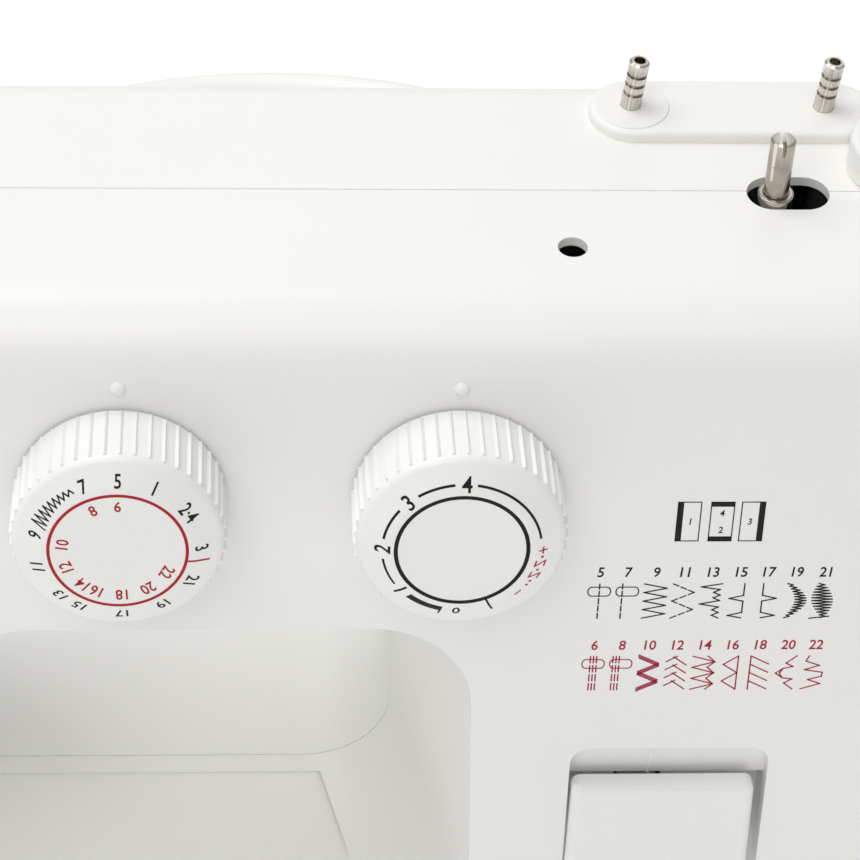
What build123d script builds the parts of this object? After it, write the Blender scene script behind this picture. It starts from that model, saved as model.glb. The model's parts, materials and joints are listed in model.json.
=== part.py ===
from build123d import *

# Domestic sewing machine with a moulded case, two front dials and a top bobbin winder.
# X runs to the right, Y to the back and Z up. Lengths are in millimetres.
# Each piece is drawn in one common frame, with Z = 0 on the table and Y = 0 inside the arm.
# Finished pieces are moved back by ORIGIN_Y, so that the origin is under the middle of the machine.
import os
from math import atan2, cos, degrees, pi, radians, sin, sqrt, tan

os.makedirs("parts", exist_ok=True)

MIN_Z = (Align.CENTER, Align.CENTER, Align.MIN)

# Case: outer sizes
LEFT_X = -186.5
RIGHT_X = 163.5
BASE_Z = 8.0                # underside of the case, on its feet
BED_Z = 67.0                # sewing surface
HEAD_Z = 125.0              # underside of the needle head
ARM_Z = 183.0               # underside of the arm
TOP_Z = 271.0
ORIGIN_Y = 9.3              # the middle of the machine from front to back
PANEL_TILT = 7.7            # the front panel leans back by this many degrees
PANEL_Y = -42.0             # the panel at the height of the dials
DIAL_Z = 224.0
REAR_TOP_Y = 58.0
REAR_BASE_Y = 72.0
PART_Y = 12.0               # parting plane of the front and rear shells
WALL = 2.5
TOP_FRONT_RADIUS = 18.0
TOP_REAR_RADIUS = 12.0
END_RADIUS = 9.0
GROOVE = 0.3                # depth of the reveal along the parting line
GROOVE_WIDTH = 0.4
FIT = 0.3                   # air between loose neighbours
RUN = 0.05                  # radial running clearance of shafts and pins
BEYOND = 30.0               # how far a cutter passes the case

# Throat between the head, the arm, the pillar and the bed
THROAT_LEFT = -92.0
THROAT_RIGHT = 22.5
THROAT_RADIUS = 24.0
THROAT_DRAFT = 0.25         # the pillar's wall opens towards the front by this slope

# Accessory box in front of the bed
BOX_RIGHT = 10.0
BOX_REAR = -35.0
BED_STEP = 0.6              # the bed's working area lies this much lower
STEP_CORNER = (11.0, 6.0)
STEP_RADIUS = 9.0
FACE_SPLIT_X = -165.0

# Dials on the front panel
PATTERN_X = -46.5
LENGTH_X = 32.0
DIAL_RADIUS = 24.9          # over the ribs
DIAL_FACE_RADIUS = 16.9     # flat middle of the dial's face
SLOPE_DEPTH = 3.6           # the face falls back this far between its middle and the rim
SLOPE_BLEND = 6.0
DIAL_DEPTH = 22.0
DIAL_GAP = 0.8
DIAL_RIM = 2.2
RIB_COUNT = 45
RIB_HEIGHT = 0.7
RIB_WIDTH = 1.0             # half the width of a rib's foot
RIB_START = 1.5
RIB_SHOULDER = 4.5
MARKER_RISE = 29.6
MARKER_RADIUS = 2.1
DIAL_SHAFT_RADIUS = 3.0
DIAL_SHAFT_LENGTH = 42.0

# Reverse lever in its recess in the pillar
RECESS_LEFT = 63.8
RECESS_RIGHT = 113.8
RECESS_TOP = -80.3          # measured up the panel from the dial axes
RECESS_BOTTOM = -140.0
RECESS_DEPTH = 14.0
RECESS_RADIUS = 5.0
PAD_LEFT = 64.6
PAD_RIGHT = 110.6
PAD_TOP = -90.6
PAD_BOTTOM = -122.0
PAD_PROUD = 3.0
PAD_THICK = 5.0
PAD_EDGE = 2.2
SCOOP_TOP_DEPTH = 1.2       # depth of the finger scoop at its upper edge
SCOOP_DEPTH = 4.6           # and behind the pad
SCOOP_BOTTOM = -92.0
SCOOP_RIB_X = 84.2
SCOOP_RIB_WIDTH = 0.8
SCOOP_RIB_HEIGHT = 0.4
LEVER_PIVOT = (-20.0, 118.0)        # Y, Z
LEVER_PIN_RADIUS = 2.5
LEVER_HUB_RADIUS = 5.0
LEVER_ARM_FRONT = -55.0
LEVER_ARM_HALF = 4.0
PAD_TAPER = 0.8             # the pad is this much wider at its lower edge
PAD_CORNER = 2.5
LEVER_SPRING = (4.2, 2.8, 11.0)     # outer radius, bore and length
LEVER_SPRING_X = 90.0

# Top: spool pins, winder, access hole and handle
CAP_LEFT = 65.8
CAP_RIGHT = 135.8
CAP_Y = 40.5
CAP_RADIUS = 10.6
CAP_HEIGHT = 3.0
PIN_X = (75.6, 122.8)
PIN_LEAN = 5.0
PIN_RADIUS = 2.5
PIN_SHOWN = 13.8
PIN_HIDDEN = 58.0
PIN_RINGS = (4.2, 6.9, 9.6)         # grooves, measured from the top
PIN_RING_DEPTH = 0.45
PIN_RING_WIDTH = 1.0
PIN_DIMPLE = (1.4, 3.0)             # radius and depth
BOSS_HEIGHT = 0.4                   # low disc round the left pin
SLOT_CENTRE = (111.2, 11.2)
SLOT_LENGTH = 19.8
SLOT_WIDTH = 12.0
SPINDLE_XY = (108.0, 10.0)
SPINDLE_RADIUS = 2.98
SPINDLE_SEAT_RADIUS = 3.2
SPINDLE_TOP = 288.6
WINDER_PIVOT_XY = (114.0, 48.0)
STOP_XY = (141.2, 20.6)
STOP_RADIUS = 14.6
STOP_HEIGHT = 9.0
ACCESS_XY = (58.4, -8.6)
ACCESS_RADIUS = 3.5
HANDLE_X = -9.3
HANDLE_SPAN = 56.3          # half the distance between its pivots
HANDLE_RISE = 23.25
HANDLE_DROOP = 15.7
HANDLE_RADIUS = 4.5
HANDLE_PIVOT = (64.5, 248.5)        # Y, Z
HANDLE_PIN_RADIUS = 1.6
LUG_IN = HANDLE_SPAN + 3.5
LUG_OUT = HANDLE_SPAN + 9.0
LUG_HALF = 5.0

# Drive train
SHAFT_Y = -6.0
SHAFT_Z = 232.0
SHAFT_RADIUS = 5.0
LOWER_Y = 14.0
LOWER_Z = 40.0
NEEDLE_X = -129.5
BUSH_RADIUS = 8.0
BEARING_X = (-100.0, 0.0, 86.0)
BEARING_WIDTH = 6.0
WEB_Y = 20.0
WEB_THICK = 5.0
CRANK_THROW = 13.0
PULLEY_X = 138.0
PULLEY_WIDTH = 8.0
FRICTION_X = 130.0
FRICTION_RADIUS = 29.0
PULLEY_RADIUS = 14.0
BELT_THICK = 1.6
WHEEL_PULLEY_X = 150.0
WHEEL_PULLEY_RADIUS = 27.0
BELT_GROOVE = 6.0
FLANGE = 1.2
MOTOR_PULLEY_RADIUS = 7.0
MOTOR_AXIS = (36.0, 62.0)           # Y, Z
MOTOR_RADIUS = 24.0
WHEEL_RADIUS = 34.0
WHEEL_X = 165.5
WHEEL_WIDTH = 21.0

tilt = radians(PANEL_TILT)
panel_normal = (0, -cos(tilt), sin(tilt))


def front_y(z):
    """Y of the front panel at height z."""
    return PANEL_Y + (z - DIAL_Z) * tan(tilt)


def rear_y(z):
    """Y of the rear wall at height z."""
    return REAR_BASE_Y + (z - BASE_Z) / (TOP_Z - BASE_Z) * (REAR_TOP_Y - REAR_BASE_Y)


def panel(x, rise=0.0, proud=0.0):
    """Plane parallel to the front panel; rise runs up the panel from the dial axes."""
    y = PANEL_Y + rise * sin(tilt) - proud * cos(tilt)
    z = DIAL_Z + rise * cos(tilt) + proud * sin(tilt)
    return Plane(origin=(x, y, z), x_dir=(1, 0, 0), z_dir=panel_normal)


def panel_point(rise, proud):
    """Y and Z of a point by the front panel."""
    origin = panel(0, rise, proud).origin
    return (origin.Y, origin.Z)


def block(low, high, mode=Mode.ADD):
    """Box between two opposite corners, in the builder in use."""
    size = [b - a for a, b in zip(low, high)]
    with Locations(tuple((a + b) / 2 for a, b in zip(low, high))):
        Box(*size, mode=mode)


def x_rod(x, y, z, radius, length, mode=Mode.ADD):
    """Cylinder from x towards +X."""
    with Locations((x, y, z)):
        Cylinder(radius, length, rotation=(0, 90, 0), align=MIN_Z, mode=mode)


def y_rod(x, y, z, radius, length, mode=Mode.ADD):
    """Cylinder from y towards +Y."""
    with Locations((x, y, z)):
        Cylinder(radius, length, rotation=(-90, 0, 0), align=MIN_Z, mode=mode)


def z_rod(x, y, z, radius, length, mode=Mode.ADD):
    """Cylinder from z towards +Z."""
    with Locations((x, y, z)):
        Cylinder(radius, length, align=MIN_Z, mode=mode)


def save(piece, name):
    """Move a finished piece to the machine's own origin, label it and write it."""
    placed = piece.part.moved(Location((0, -ORIGIN_Y, 0)))
    placed.label = name
    export_step(placed, f"parts/{name}.step")


# ---------------------------------------------------------------- case shells
def plain_form(inset):
    """The case with no throat, drawn in by inset; a drawn-in form passes the open bottom."""
    floor = BASE_Z - (BEYOND if inset else 0.0)
    front = inset / cos(tilt)
    top = TOP_Z - inset
    with BuildPart() as form:
        with BuildSketch(Plane.YZ.offset(LEFT_X + inset)):
            with BuildLine():
                Polyline(
                    (front_y(floor) + front, floor),
                    (front_y(top) + front, top),
                    (rear_y(top) - inset, top),
                    (rear_y(floor) - inset, floor),
                    close=True,
                )
            make_face()
            top_corners = vertices().group_by(Axis.Y)[-1].sort_by(Axis.X)
            fillet(top_corners[0], TOP_FRONT_RADIUS - inset)
            fillet(vertices().group_by(Axis.Y)[-1].sort_by(Axis.X)[-1], TOP_REAR_RADIUS - inset)
        extrude(amount=RIGHT_X - LEFT_X - 2 * inset)
        ends = faces().sort_by(Axis.X)
        rims = [e for e in ends[0].edges() + ends[-1].edges() if e.center().Z > floor + 1]
        fillet(rims, END_RADIUS - inset)
    return form.part


def throat_face(inset, right):
    """Rounded outline of the throat, grown by inset, in the sketch in use."""
    left = THROAT_LEFT - inset
    right = right + inset
    low = BED_Z - inset
    high = ARM_Z + inset
    with Locations(((left + right) / 2, (low + high) / 2)):
        RectangleRounded(right - left, high - low, THROAT_RADIUS + inset)


def machine_form(inset):
    """The case with the throat, the space under the head and the box's place cut out."""
    back = rear_y(BASE_Z) + BEYOND
    ahead = -front_y(BASE_Z) + BEYOND
    with BuildPart() as form:
        add(plain_form(inset))
        with BuildSketch(Plane.XZ.offset(-back)):
            throat_face(inset, THROAT_RIGHT)
        extrude(amount=back - PART_Y, mode=Mode.SUBTRACT)
        with BuildSketch(Plane.XZ.offset(-PART_Y)):
            throat_face(inset, THROAT_RIGHT)
        with BuildSketch(Plane.XZ.offset(ahead)):
            throat_face(inset, THROAT_RIGHT + THROAT_DRAFT * (ahead + PART_Y))
        loft(mode=Mode.SUBTRACT)
        block(
            (LEFT_X - BEYOND, -ahead, BED_Z - inset),
            (THROAT_LEFT + BEYOND, back, HEAD_Z + inset),
            Mode.SUBTRACT,
        )
        block(
            (LEFT_X - BEYOND, -ahead, BASE_Z - 2 * BEYOND),
            (BOX_RIGHT + inset, BOX_REAR + inset, BED_Z + 1),
            Mode.SUBTRACT,
        )
    return form.part


outer_form = machine_form(0.0)
inner_form = machine_form(WALL)
groove_form = machine_form(GROOVE)

with BuildPart() as shell:
    add(outer_form)
    add(inner_form, mode=Mode.SUBTRACT)

with BuildPart() as groove:
    block(
        (LEFT_X - 1, PART_Y - GROOVE_WIDTH / 2, BASE_Z - 1),
        (RIGHT_X + 1, PART_Y + GROOVE_WIDTH / 2, TOP_Z + 1),
    )
    add(groove_form, mode=Mode.SUBTRACT)

PLATE_LEFT = -160.0
PLATE_RIGHT = -100.0
PLATE_FRONT = -31.0
PLATE_REAR = 5.0
PLATE_THICK = 1.5
PLATE_LEDGE = 5.0
HEAD_BAY = ((-142.0, -18.0), (-117.0, 26.0))
step_z = BED_Z - BED_STEP


def top_openings():
    """Winder slot and access hole through the top, cut from the part in use."""
    with Locations((*SLOT_CENTRE, TOP_Z - 2 * WALL)):
        Box(SLOT_LENGTH - SLOT_WIDTH, SLOT_WIDTH, 4 * WALL, align=MIN_Z, mode=Mode.SUBTRACT)
    for side in (-1, 1):
        x = SLOT_CENTRE[0] + side * (SLOT_LENGTH - SLOT_WIDTH) / 2
        z_rod(x, SLOT_CENTRE[1], TOP_Z - 2 * WALL, SLOT_WIDTH / 2, 4 * WALL, Mode.SUBTRACT)
    z_rod(*ACCESS_XY, TOP_Z - 2 * WALL, ACCESS_RADIUS, 4 * WALL, Mode.SUBTRACT)


def head_openings():
    """Bay for the needle and presser bars, and the place of the face cover."""
    low, high = HEAD_BAY
    block((*low, HEAD_Z - WALL), (*high, HEAD_Z + 2 * WALL), Mode.SUBTRACT)
    block(
        (LEFT_X - BEYOND, front_y(BASE_Z) - BEYOND, (BED_Z + HEAD_Z) / 2),
        (FACE_SPLIT_X + GROOVE_WIDTH / 2, REAR_BASE_Y + BEYOND, TOP_Z + BEYOND),
        Mode.SUBTRACT,
    )


LEVER_SLOT = (77.0, 89.0)
LEVER_SLOT_RISE = (-121.5, -98.0)
TAKE_UP_X = -106.0
TAKE_UP_SLOT = (200.0, 246.0)
TENSION_X = -150.0
TENSION_RISE = -6.0
SHUTTLE_DOOR = (-158.0, -102.0, 20.0, 60.0)
AXLE_HOLE = 9.0
TAKE_UP_SLOT_HALF = 2.5
LIFTER_SLOT_HALF = 3.5
DIAL_SLEEVE_RADIUS = 2.2 * DIAL_SHAFT_RADIUS

with BuildPart() as front_casing:
    add(shell.part)
    split(bisect_by=Plane.XZ.offset(-PART_Y), keep=Keep.TOP)
    add(groove.part, mode=Mode.SUBTRACT)
    # tub of the reverse lever
    recess_x = (RECESS_LEFT + RECESS_RIGHT) / 2
    recess_rise = (RECESS_TOP + RECESS_BOTTOM) / 2
    recess_width = RECESS_RIGHT - RECESS_LEFT
    recess_height = RECESS_TOP - RECESS_BOTTOM
    with BuildSketch(panel(recess_x, recess_rise, -WALL / 2)):
        RectangleRounded(recess_width + 2 * WALL, recess_height + 2 * WALL, RECESS_RADIUS + WALL)
    extrude(amount=-(RECESS_DEPTH + WALL / 2))
    with BuildSketch(panel(recess_x, recess_rise, WALL)):
        RectangleRounded(recess_width, recess_height, RECESS_RADIUS)
    extrude(amount=-(RECESS_DEPTH + WALL / 2), mode=Mode.SUBTRACT)
    with BuildSketch(panel(sum(LEVER_SLOT) / 2, sum(LEVER_SLOT_RISE) / 2, 0)):
        Rectangle(LEVER_SLOT[1] - LEVER_SLOT[0], LEVER_SLOT_RISE[1] - LEVER_SLOT_RISE[0])
    extrude(amount=-2 * RECESS_DEPTH, mode=Mode.SUBTRACT)
    # finger scoop above the pad, with a low rib down it
    for left, right, proud in (
        (RECESS_LEFT - WALL / 2, RECESS_RIGHT + WALL / 2, 0.0),
        (SCOOP_RIB_X - SCOOP_RIB_WIDTH / 2, SCOOP_RIB_X + SCOOP_RIB_WIDTH / 2, SCOOP_RIB_HEIGHT),
    ):
        with BuildSketch(Plane.YZ.offset(left)):
            Polygon(
                panel_point(RECESS_TOP + WALL / 2, proud - SCOOP_TOP_DEPTH),
                panel_point(SCOOP_BOTTOM, proud - SCOOP_DEPTH),
                panel_point(SCOOP_BOTTOM, -RECESS_DEPTH),
                panel_point(RECESS_TOP + WALL / 2, -RECESS_DEPTH),
                align=None,
            )
        extrude(amount=right - left)
    # dial sleeves, dial holes and marker studs
    for x in (PATTERN_X, LENGTH_X):
        with BuildSketch(panel(x, 0, -WALL / 2)):
            Circle(DIAL_SLEEVE_RADIUS)
        extrude(amount=-4 * WALL)
        with BuildSketch(panel(x, 0, WALL)):
            Circle(DIAL_SHAFT_RADIUS + RUN)
        extrude(amount=-8 * WALL, mode=Mode.SUBTRACT)
        with Locations(panel(x, MARKER_RISE, -MARKER_RADIUS / 3)):
            Sphere(MARKER_RADIUS)
    # tension dial hole
    with BuildSketch(panel(TENSION_X, TENSION_RISE, WALL)):
        Circle(DIAL_SHAFT_RADIUS + RUN)
    extrude(amount=-8 * WALL, mode=Mode.SUBTRACT)
    # take-up lever slot
    block(
        (TAKE_UP_X - TAKE_UP_SLOT_HALF, front_y(TAKE_UP_SLOT[0]) - 2 * WALL, TAKE_UP_SLOT[0]),
        (TAKE_UP_X + TAKE_UP_SLOT_HALF, front_y(TAKE_UP_SLOT[1]) + 3 * WALL, TAKE_UP_SLOT[1]),
        Mode.SUBTRACT,
    )
    top_openings()
    head_openings()
    # lower working area with a rounded corner, and the needle plate's pocket
    with BuildSketch(Plane.XY.offset(step_z)):
        with Locations(STEP_CORNER):
            Rectangle(RIGHT_X - LEFT_X, REAR_BASE_Y - PANEL_Y, align=(Align.MAX, Align.MAX))
        fillet(vertices().sort_by(Axis.X)[-2:].sort_by(Axis.Y)[-1], STEP_RADIUS)
    extrude(amount=BED_STEP + FIT, mode=Mode.SUBTRACT)
    block(
        (PLATE_LEFT, PLATE_FRONT, step_z - PLATE_THICK),
        (PLATE_RIGHT, PLATE_REAR, BED_Z + 1),
        Mode.SUBTRACT,
    )
    block(
        (PLATE_LEFT + PLATE_LEDGE, PLATE_FRONT + PLATE_LEDGE, BED_Z - 2 * WALL),
        (PLATE_RIGHT - PLATE_LEDGE, PLATE_REAR - PLATE_LEDGE + 2, BED_Z + 1),
        Mode.SUBTRACT,
    )
    # doorway to the shuttle
    block(
        (SHUTTLE_DOOR[0], BOX_REAR - 1, SHUTTLE_DOOR[2]),
        (SHUTTLE_DOOR[1], BOX_REAR + WALL + 1, SHUTTLE_DOOR[3]),
        Mode.SUBTRACT,
    )
    # handwheel hub hole
    x_rod(RIGHT_X - 3 * WALL, SHAFT_Y, SHAFT_Z, AXLE_HOLE, 6 * WALL, Mode.SUBTRACT)
save(front_casing, "front_casing")

SWITCH = (30.0, 96.0)       # Y, Z of the power switch on the right wall
INLET = (52.0, 34.0)        # Y, Z of the power inlet
SWITCH_SIZE = (14.0, 22.0)
INLET_SIZE = (22.0, 18.0)
LIFTER_Y = 38.0
FACE_SCREW = (15.0, 200.0)    # Y, Z
FACE_SCREW_RADIUS = 2.7
FACE_SCREW_HEAD = 5.0
FACE_SCREW_SINK = 2.2
LAMP_XY = (-172.0, 30.0)
LIFTER_SLOT = (128.5, 176.0)
SCREW_SPOTS = ((-150.0, 200.0), (40.0, 215.0), (140.0, 215.0), (-60.0, 40.0), (140.0, 30.0))
SCREW_RADIUS = 3.4

with BuildPart() as rear_casing:
    add(shell.part)
    split(bisect_by=Plane.XZ.offset(-PART_Y), keep=Keep.BOTTOM)
    add(groove.part, mode=Mode.SUBTRACT)
    # handle lugs
    for side in (-1, 1):
        near, far = sorted((HANDLE_X + side * LUG_IN, HANDLE_X + side * LUG_OUT))
        block(
            (near, REAR_TOP_Y - 1, HANDLE_PIVOT[1] - LUG_HALF),
            (far, HANDLE_PIVOT[0], HANDLE_PIVOT[1] + LUG_HALF),
        )
        x_rod(near, *HANDLE_PIVOT, LUG_HALF, far - near)
    x_rod(HANDLE_X - LUG_OUT - 1, *HANDLE_PIVOT, HANDLE_PIN_RADIUS, 2 * LUG_OUT + 2, Mode.SUBTRACT)
    top_openings()
    head_openings()
    # spool pin clearance holes
    for x in PIN_X:
        with Locations(Plane((x, CAP_Y, TOP_Z), x_dir=(1, 0, 0), z_dir=(0, 0, 1))):
            Cylinder(PIN_RADIUS + 1.5, 6 * WALL, mode=Mode.SUBTRACT)
    # switch and inlet cut-outs in the right wall
    for (y, z), (width, height) in ((SWITCH, SWITCH_SIZE), (INLET, INLET_SIZE)):
        block(
            (RIGHT_X - 2 * WALL, y - width / 2, z - height / 2),
            (RIGHT_X + WALL, y + width / 2, z + height / 2),
            Mode.SUBTRACT,
        )
    # lifter slot in the head's right wall
    block(
        (THROAT_LEFT - 2 * WALL, LIFTER_Y - LIFTER_SLOT_HALF, LIFTER_SLOT[0]),
        (THROAT_LEFT + WALL, LIFTER_Y + LIFTER_SLOT_HALF, LIFTER_SLOT[1]),
        Mode.SUBTRACT,
    )
    for x, z in SCREW_SPOTS:
        y_rod(x, rear_y(z) - 3 * WALL, z, SCREW_RADIUS + FIT, 6 * WALL, Mode.SUBTRACT)
save(rear_casing, "rear_casing")

with BuildPart() as face_cover:
    add(shell.part)
    block(
        (FACE_SPLIT_X - GROOVE_WIDTH / 2, front_y(BASE_Z) - BEYOND, BASE_Z - BEYOND),
        (RIGHT_X + BEYOND, REAR_BASE_Y + BEYOND, TOP_Z + BEYOND),
        Mode.SUBTRACT,
    )
    block(
        (LEFT_X - BEYOND, front_y(BASE_Z) - BEYOND, BASE_Z - BEYOND),
        (RIGHT_X + BEYOND, REAR_BASE_Y + BEYOND, (BED_Z + HEAD_Z) / 2),
        Mode.SUBTRACT,
    )
    x_rod(LEFT_X - 1, *FACE_SCREW, FACE_SCREW_RADIUS + FIT, 3 * WALL, Mode.SUBTRACT)
    x_rod(LEFT_X - 1, *FACE_SCREW, FACE_SCREW_HEAD + FIT, FACE_SCREW_SINK, Mode.SUBTRACT)
save(face_cover, "face_cover")

BASE_THICK = 2.5
FOOT_SPOTS = ((-168.0, -20.0), (-168.0, 56.0), (145.0, -52.0), (145.0, 56.0), (20.0, -52.0))
FOOT_RADIUS = 9.0

with BuildPart() as base_plate:
    gap = WALL + FIT
    block(
        (LEFT_X + gap, BOX_REAR + gap, BASE_Z),
        (BOX_RIGHT + gap + 1, rear_y(BASE_Z + BASE_THICK) - gap, BASE_Z + BASE_THICK),
    )
    block(
        (BOX_RIGHT + gap, front_y(BASE_Z + BASE_THICK) + gap, BASE_Z),
        (RIGHT_X - gap, rear_y(BASE_Z + BASE_THICK) - gap, BASE_Z + BASE_THICK),
    )
    outer_corners = edges().filter_by(Axis.Z).group_by(Axis.X)
    fillet(outer_corners[0] + outer_corners[-1], END_RADIUS - WALL)
save(base_plate, "base_plate")

with BuildPart() as rubber_feet:
    for x, y in FOOT_SPOTS:
        z_rod(x, y, 0, FOOT_RADIUS, BASE_Z)
    chamfer(edges().group_by(Axis.Z)[0], 1.0)
save(rubber_feet, "rubber_feet")

# ---------------------------------------------------------------- cast frame and bearings
FRAME_LEFT = -158.0
FRAME_LOW = 13.0
FRAME_PILLAR = (62.0, 116.0)
ARM_BEAM = (206.0, 240.0)           # Z of the arm's beam
BED_BEAM_TOP = 24.0
HEAD_WEB_RIGHT = -112.0
HEAD_PLATES = (140.0, 252.0)        # Z of the plates that guide the bars
HEAD_PLATE_THICK = 6.0
HEAD_PLATE_X = (-142.0, -117.0)
HEAD_PLATE_FRONT = -14.0
LEG_X = (-110.0, -20.0, 70.0, 105.0)
LEG_HALF = 8.0
LEG_TOP = 14.0
PRESSER_Y = 10.0
NEEDLE_RADIUS = 3.5
PRESSER_RADIUS = 3.5
BAR_BUSH = 5.5
STUD_RADIUS = 2.0
TAKE_UP_PIVOT = (-20.0, 203.0)      # Y, Z
TAKE_UP_STUD_X = (-109.0, -103.0, -97.0)    # tip and both faces of its block
LIFTER_PIVOT = (-114.0, 150.0)      # X, Z
LIFTER_BOSS = (4.0, 6.0)            # radius and length
LIFTER_STUD = 22.0
EAR_X = (68.0, 102.0)
EAR_THICK = 4.0

with BuildPart() as machine_frame:
    web_rear = WEB_Y + WEB_THICK
    block((FRAME_LEFT, WEB_Y, ARM_BEAM[0]), (FRAME_PILLAR[1], web_rear, ARM_BEAM[1]))
    block((FRAME_LEFT, WEB_Y, FRAME_LOW), (FRAME_PILLAR[1], web_rear, BED_BEAM_TOP))
    block((FRAME_PILLAR[0], WEB_Y, FRAME_LOW), (FRAME_PILLAR[1], web_rear, ARM_BEAM[1]))
    block((FRAME_LEFT, WEB_Y, HEAD_PLATES[0]), (HEAD_WEB_RIGHT, web_rear, HEAD_PLATES[1] + HEAD_PLATE_THICK))
    for x in LEG_X:
        block(
            (x - LEG_HALF, WEB_Y - LEG_HALF, BASE_Z + BASE_THICK),
            (x + LEG_HALF, web_rear + LEG_HALF, LEG_TOP),
        )
    for x in BEARING_X:
        low = x - BEARING_WIDTH / 2
        high = x + BEARING_WIDTH / 2
        block((low, SHAFT_Y - 11, SHAFT_Z - 15), (high, WEB_Y, SHAFT_Z + 13))
        x_rod(low - 1, SHAFT_Y, SHAFT_Z, BUSH_RADIUS, BEARING_WIDTH + 2, Mode.SUBTRACT)
        block((low, LOWER_Y - 11, BED_BEAM_TOP - 2), (high, WEB_Y + 1, LOWER_Z + 12))
        x_rod(low - 1, LOWER_Y, LOWER_Z, BUSH_RADIUS, BEARING_WIDTH + 2, Mode.SUBTRACT)
    for z in HEAD_PLATES:
        block((HEAD_PLATE_X[0], HEAD_PLATE_FRONT, z), (HEAD_PLATE_X[1], WEB_Y, z + HEAD_PLATE_THICK))
        for y in (SHAFT_Y, PRESSER_Y):
            z_rod(NEEDLE_X, y, z - 1, BAR_BUSH, HEAD_PLATE_THICK + 2, Mode.SUBTRACT)
    # take-up pivot stud beside the left bearing
    stud_tip, stud_left, stud_right = TAKE_UP_STUD_X
    block(
        (stud_left, TAKE_UP_PIVOT[0] - 5, TAKE_UP_PIVOT[1] - 5),
        (stud_right, SHAFT_Y, SHAFT_Z - 12),
    )
    x_rod(stud_tip, *TAKE_UP_PIVOT, STUD_RADIUS, stud_left - stud_tip + 1)
    # ears for the reverse lever
    for x in EAR_X:
        block((x, LEVER_PIVOT[0] - 6, LEVER_PIVOT[1] - 8), (x + EAR_THICK, WEB_Y, LEVER_PIVOT[1] + 8))
    x_rod(EAR_X[0] - 2, *LEVER_PIVOT, LEVER_PIN_RADIUS, EAR_X[1] - EAR_X[0] + 2 * EAR_THICK, Mode.SUBTRACT)
    # lifter pivot boss
    for radius, length in (LIFTER_BOSS, (STUD_RADIUS, LIFTER_STUD)):
        y_rod(LIFTER_PIVOT[0], web_rear, LIFTER_PIVOT[1], radius, length)
    block(
        (LIFTER_PIVOT[0] - 6, WEB_Y, LIFTER_PIVOT[1] - 8),
        (LIFTER_PIVOT[0] + 6, web_rear, LIFTER_PIVOT[1] + 8),
    )
save(machine_frame, "machine_frame")

with BuildPart() as bushes:
    for x in BEARING_X:
        for y, z in ((SHAFT_Y, SHAFT_Z), (LOWER_Y, LOWER_Z)):
            x_rod(x - BEARING_WIDTH / 2 - 1, y, z, BUSH_RADIUS, BEARING_WIDTH + 2)
            x_rod(x - BEARING_WIDTH, y, z, SHAFT_RADIUS + RUN, 2 * BEARING_WIDTH, Mode.SUBTRACT)
    for z in HEAD_PLATES:
        for y, radius in ((SHAFT_Y, NEEDLE_RADIUS), (PRESSER_Y, PRESSER_RADIUS)):
            z_rod(NEEDLE_X, y, z - 2, BAR_BUSH, HEAD_PLATE_THICK + 4)
            z_rod(NEEDLE_X, y, z - 3, radius + RUN, HEAD_PLATE_THICK + 6, Mode.SUBTRACT)
save(bushes, "bushes")

# ---------------------------------------------------------------- main shaft group
SHAFT_LEFT = -116.0
SHAFT_BEYOND = 14.0         # how far the shaft goes into the handwheel
CRANK_X = -122.0
CRANK_RADIUS = 17.0
CRANK_THICK = 6.0
CRANK_PIN_RADIUS = 2.5
ROD_X = -125.6
TOOTH_COUNT = 18
TOOTH_RADIUS = 0.9
TOOTH_LIP = 0.8             # how far a flange stands above the belt
FRICTION_THICK = 4.0

with BuildPart() as main_shaft:
    x_rod(SHAFT_LEFT, SHAFT_Y, SHAFT_Z, SHAFT_RADIUS, WHEEL_X + SHAFT_BEYOND - SHAFT_LEFT)
save(main_shaft, "main_shaft")

with BuildPart() as needle_crank:
    x_rod(CRANK_X, SHAFT_Y, SHAFT_Z, CRANK_RADIUS, CRANK_THICK)
    x_rod(ROD_X, SHAFT_Y, SHAFT_Z + CRANK_THROW, CRANK_PIN_RADIUS, CRANK_X - ROD_X + 0.4)
    x_rod(SHAFT_LEFT, SHAFT_Y, SHAFT_Z, BUSH_RADIUS, CRANK_THICK)
    x_rod(SHAFT_LEFT, SHAFT_Y, SHAFT_Z, SHAFT_RADIUS, CRANK_THICK + 1, Mode.SUBTRACT)
save(needle_crank, "needle_crank")


def toothed_pulley(x, y, z, radius, bore):
    """Flanged pulley with belt teeth, in the builder in use."""
    x_rod(x, y, z, radius, PULLEY_WIDTH)
    for flange in (x - FLANGE, x + PULLEY_WIDTH):
        x_rod(flange, y, z, radius + BELT_THICK + TOOTH_LIP, FLANGE)
    for index in range(TOOTH_COUNT):
        angle = 2 * pi * index / TOOTH_COUNT
        tooth_y = y + radius * cos(angle)
        tooth_z = z + radius * sin(angle)
        x_rod(x - 0.1, tooth_y, tooth_z, TOOTH_RADIUS, PULLEY_WIDTH + 0.2, Mode.SUBTRACT)
    x_rod(x - 2 * FLANGE, y, z, bore, PULLEY_WIDTH + 4 * FLANGE, Mode.SUBTRACT)


with BuildPart() as upper_pulley:
    toothed_pulley(PULLEY_X, SHAFT_Y, SHAFT_Z, PULLEY_RADIUS, SHAFT_RADIUS)
    # winder's friction disc
    x_rod(FRICTION_X, SHAFT_Y, SHAFT_Z, FRICTION_RADIUS, FRICTION_THICK)
    x_rod(FRICTION_X, SHAFT_Y, SHAFT_Z, BUSH_RADIUS + 1, PULLEY_X - FRICTION_X)
    x_rod(FRICTION_X - 1, SHAFT_Y, SHAFT_Z, SHAFT_RADIUS, PULLEY_X - FRICTION_X + 2, Mode.SUBTRACT)
save(upper_pulley, "upper_pulley")

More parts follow.
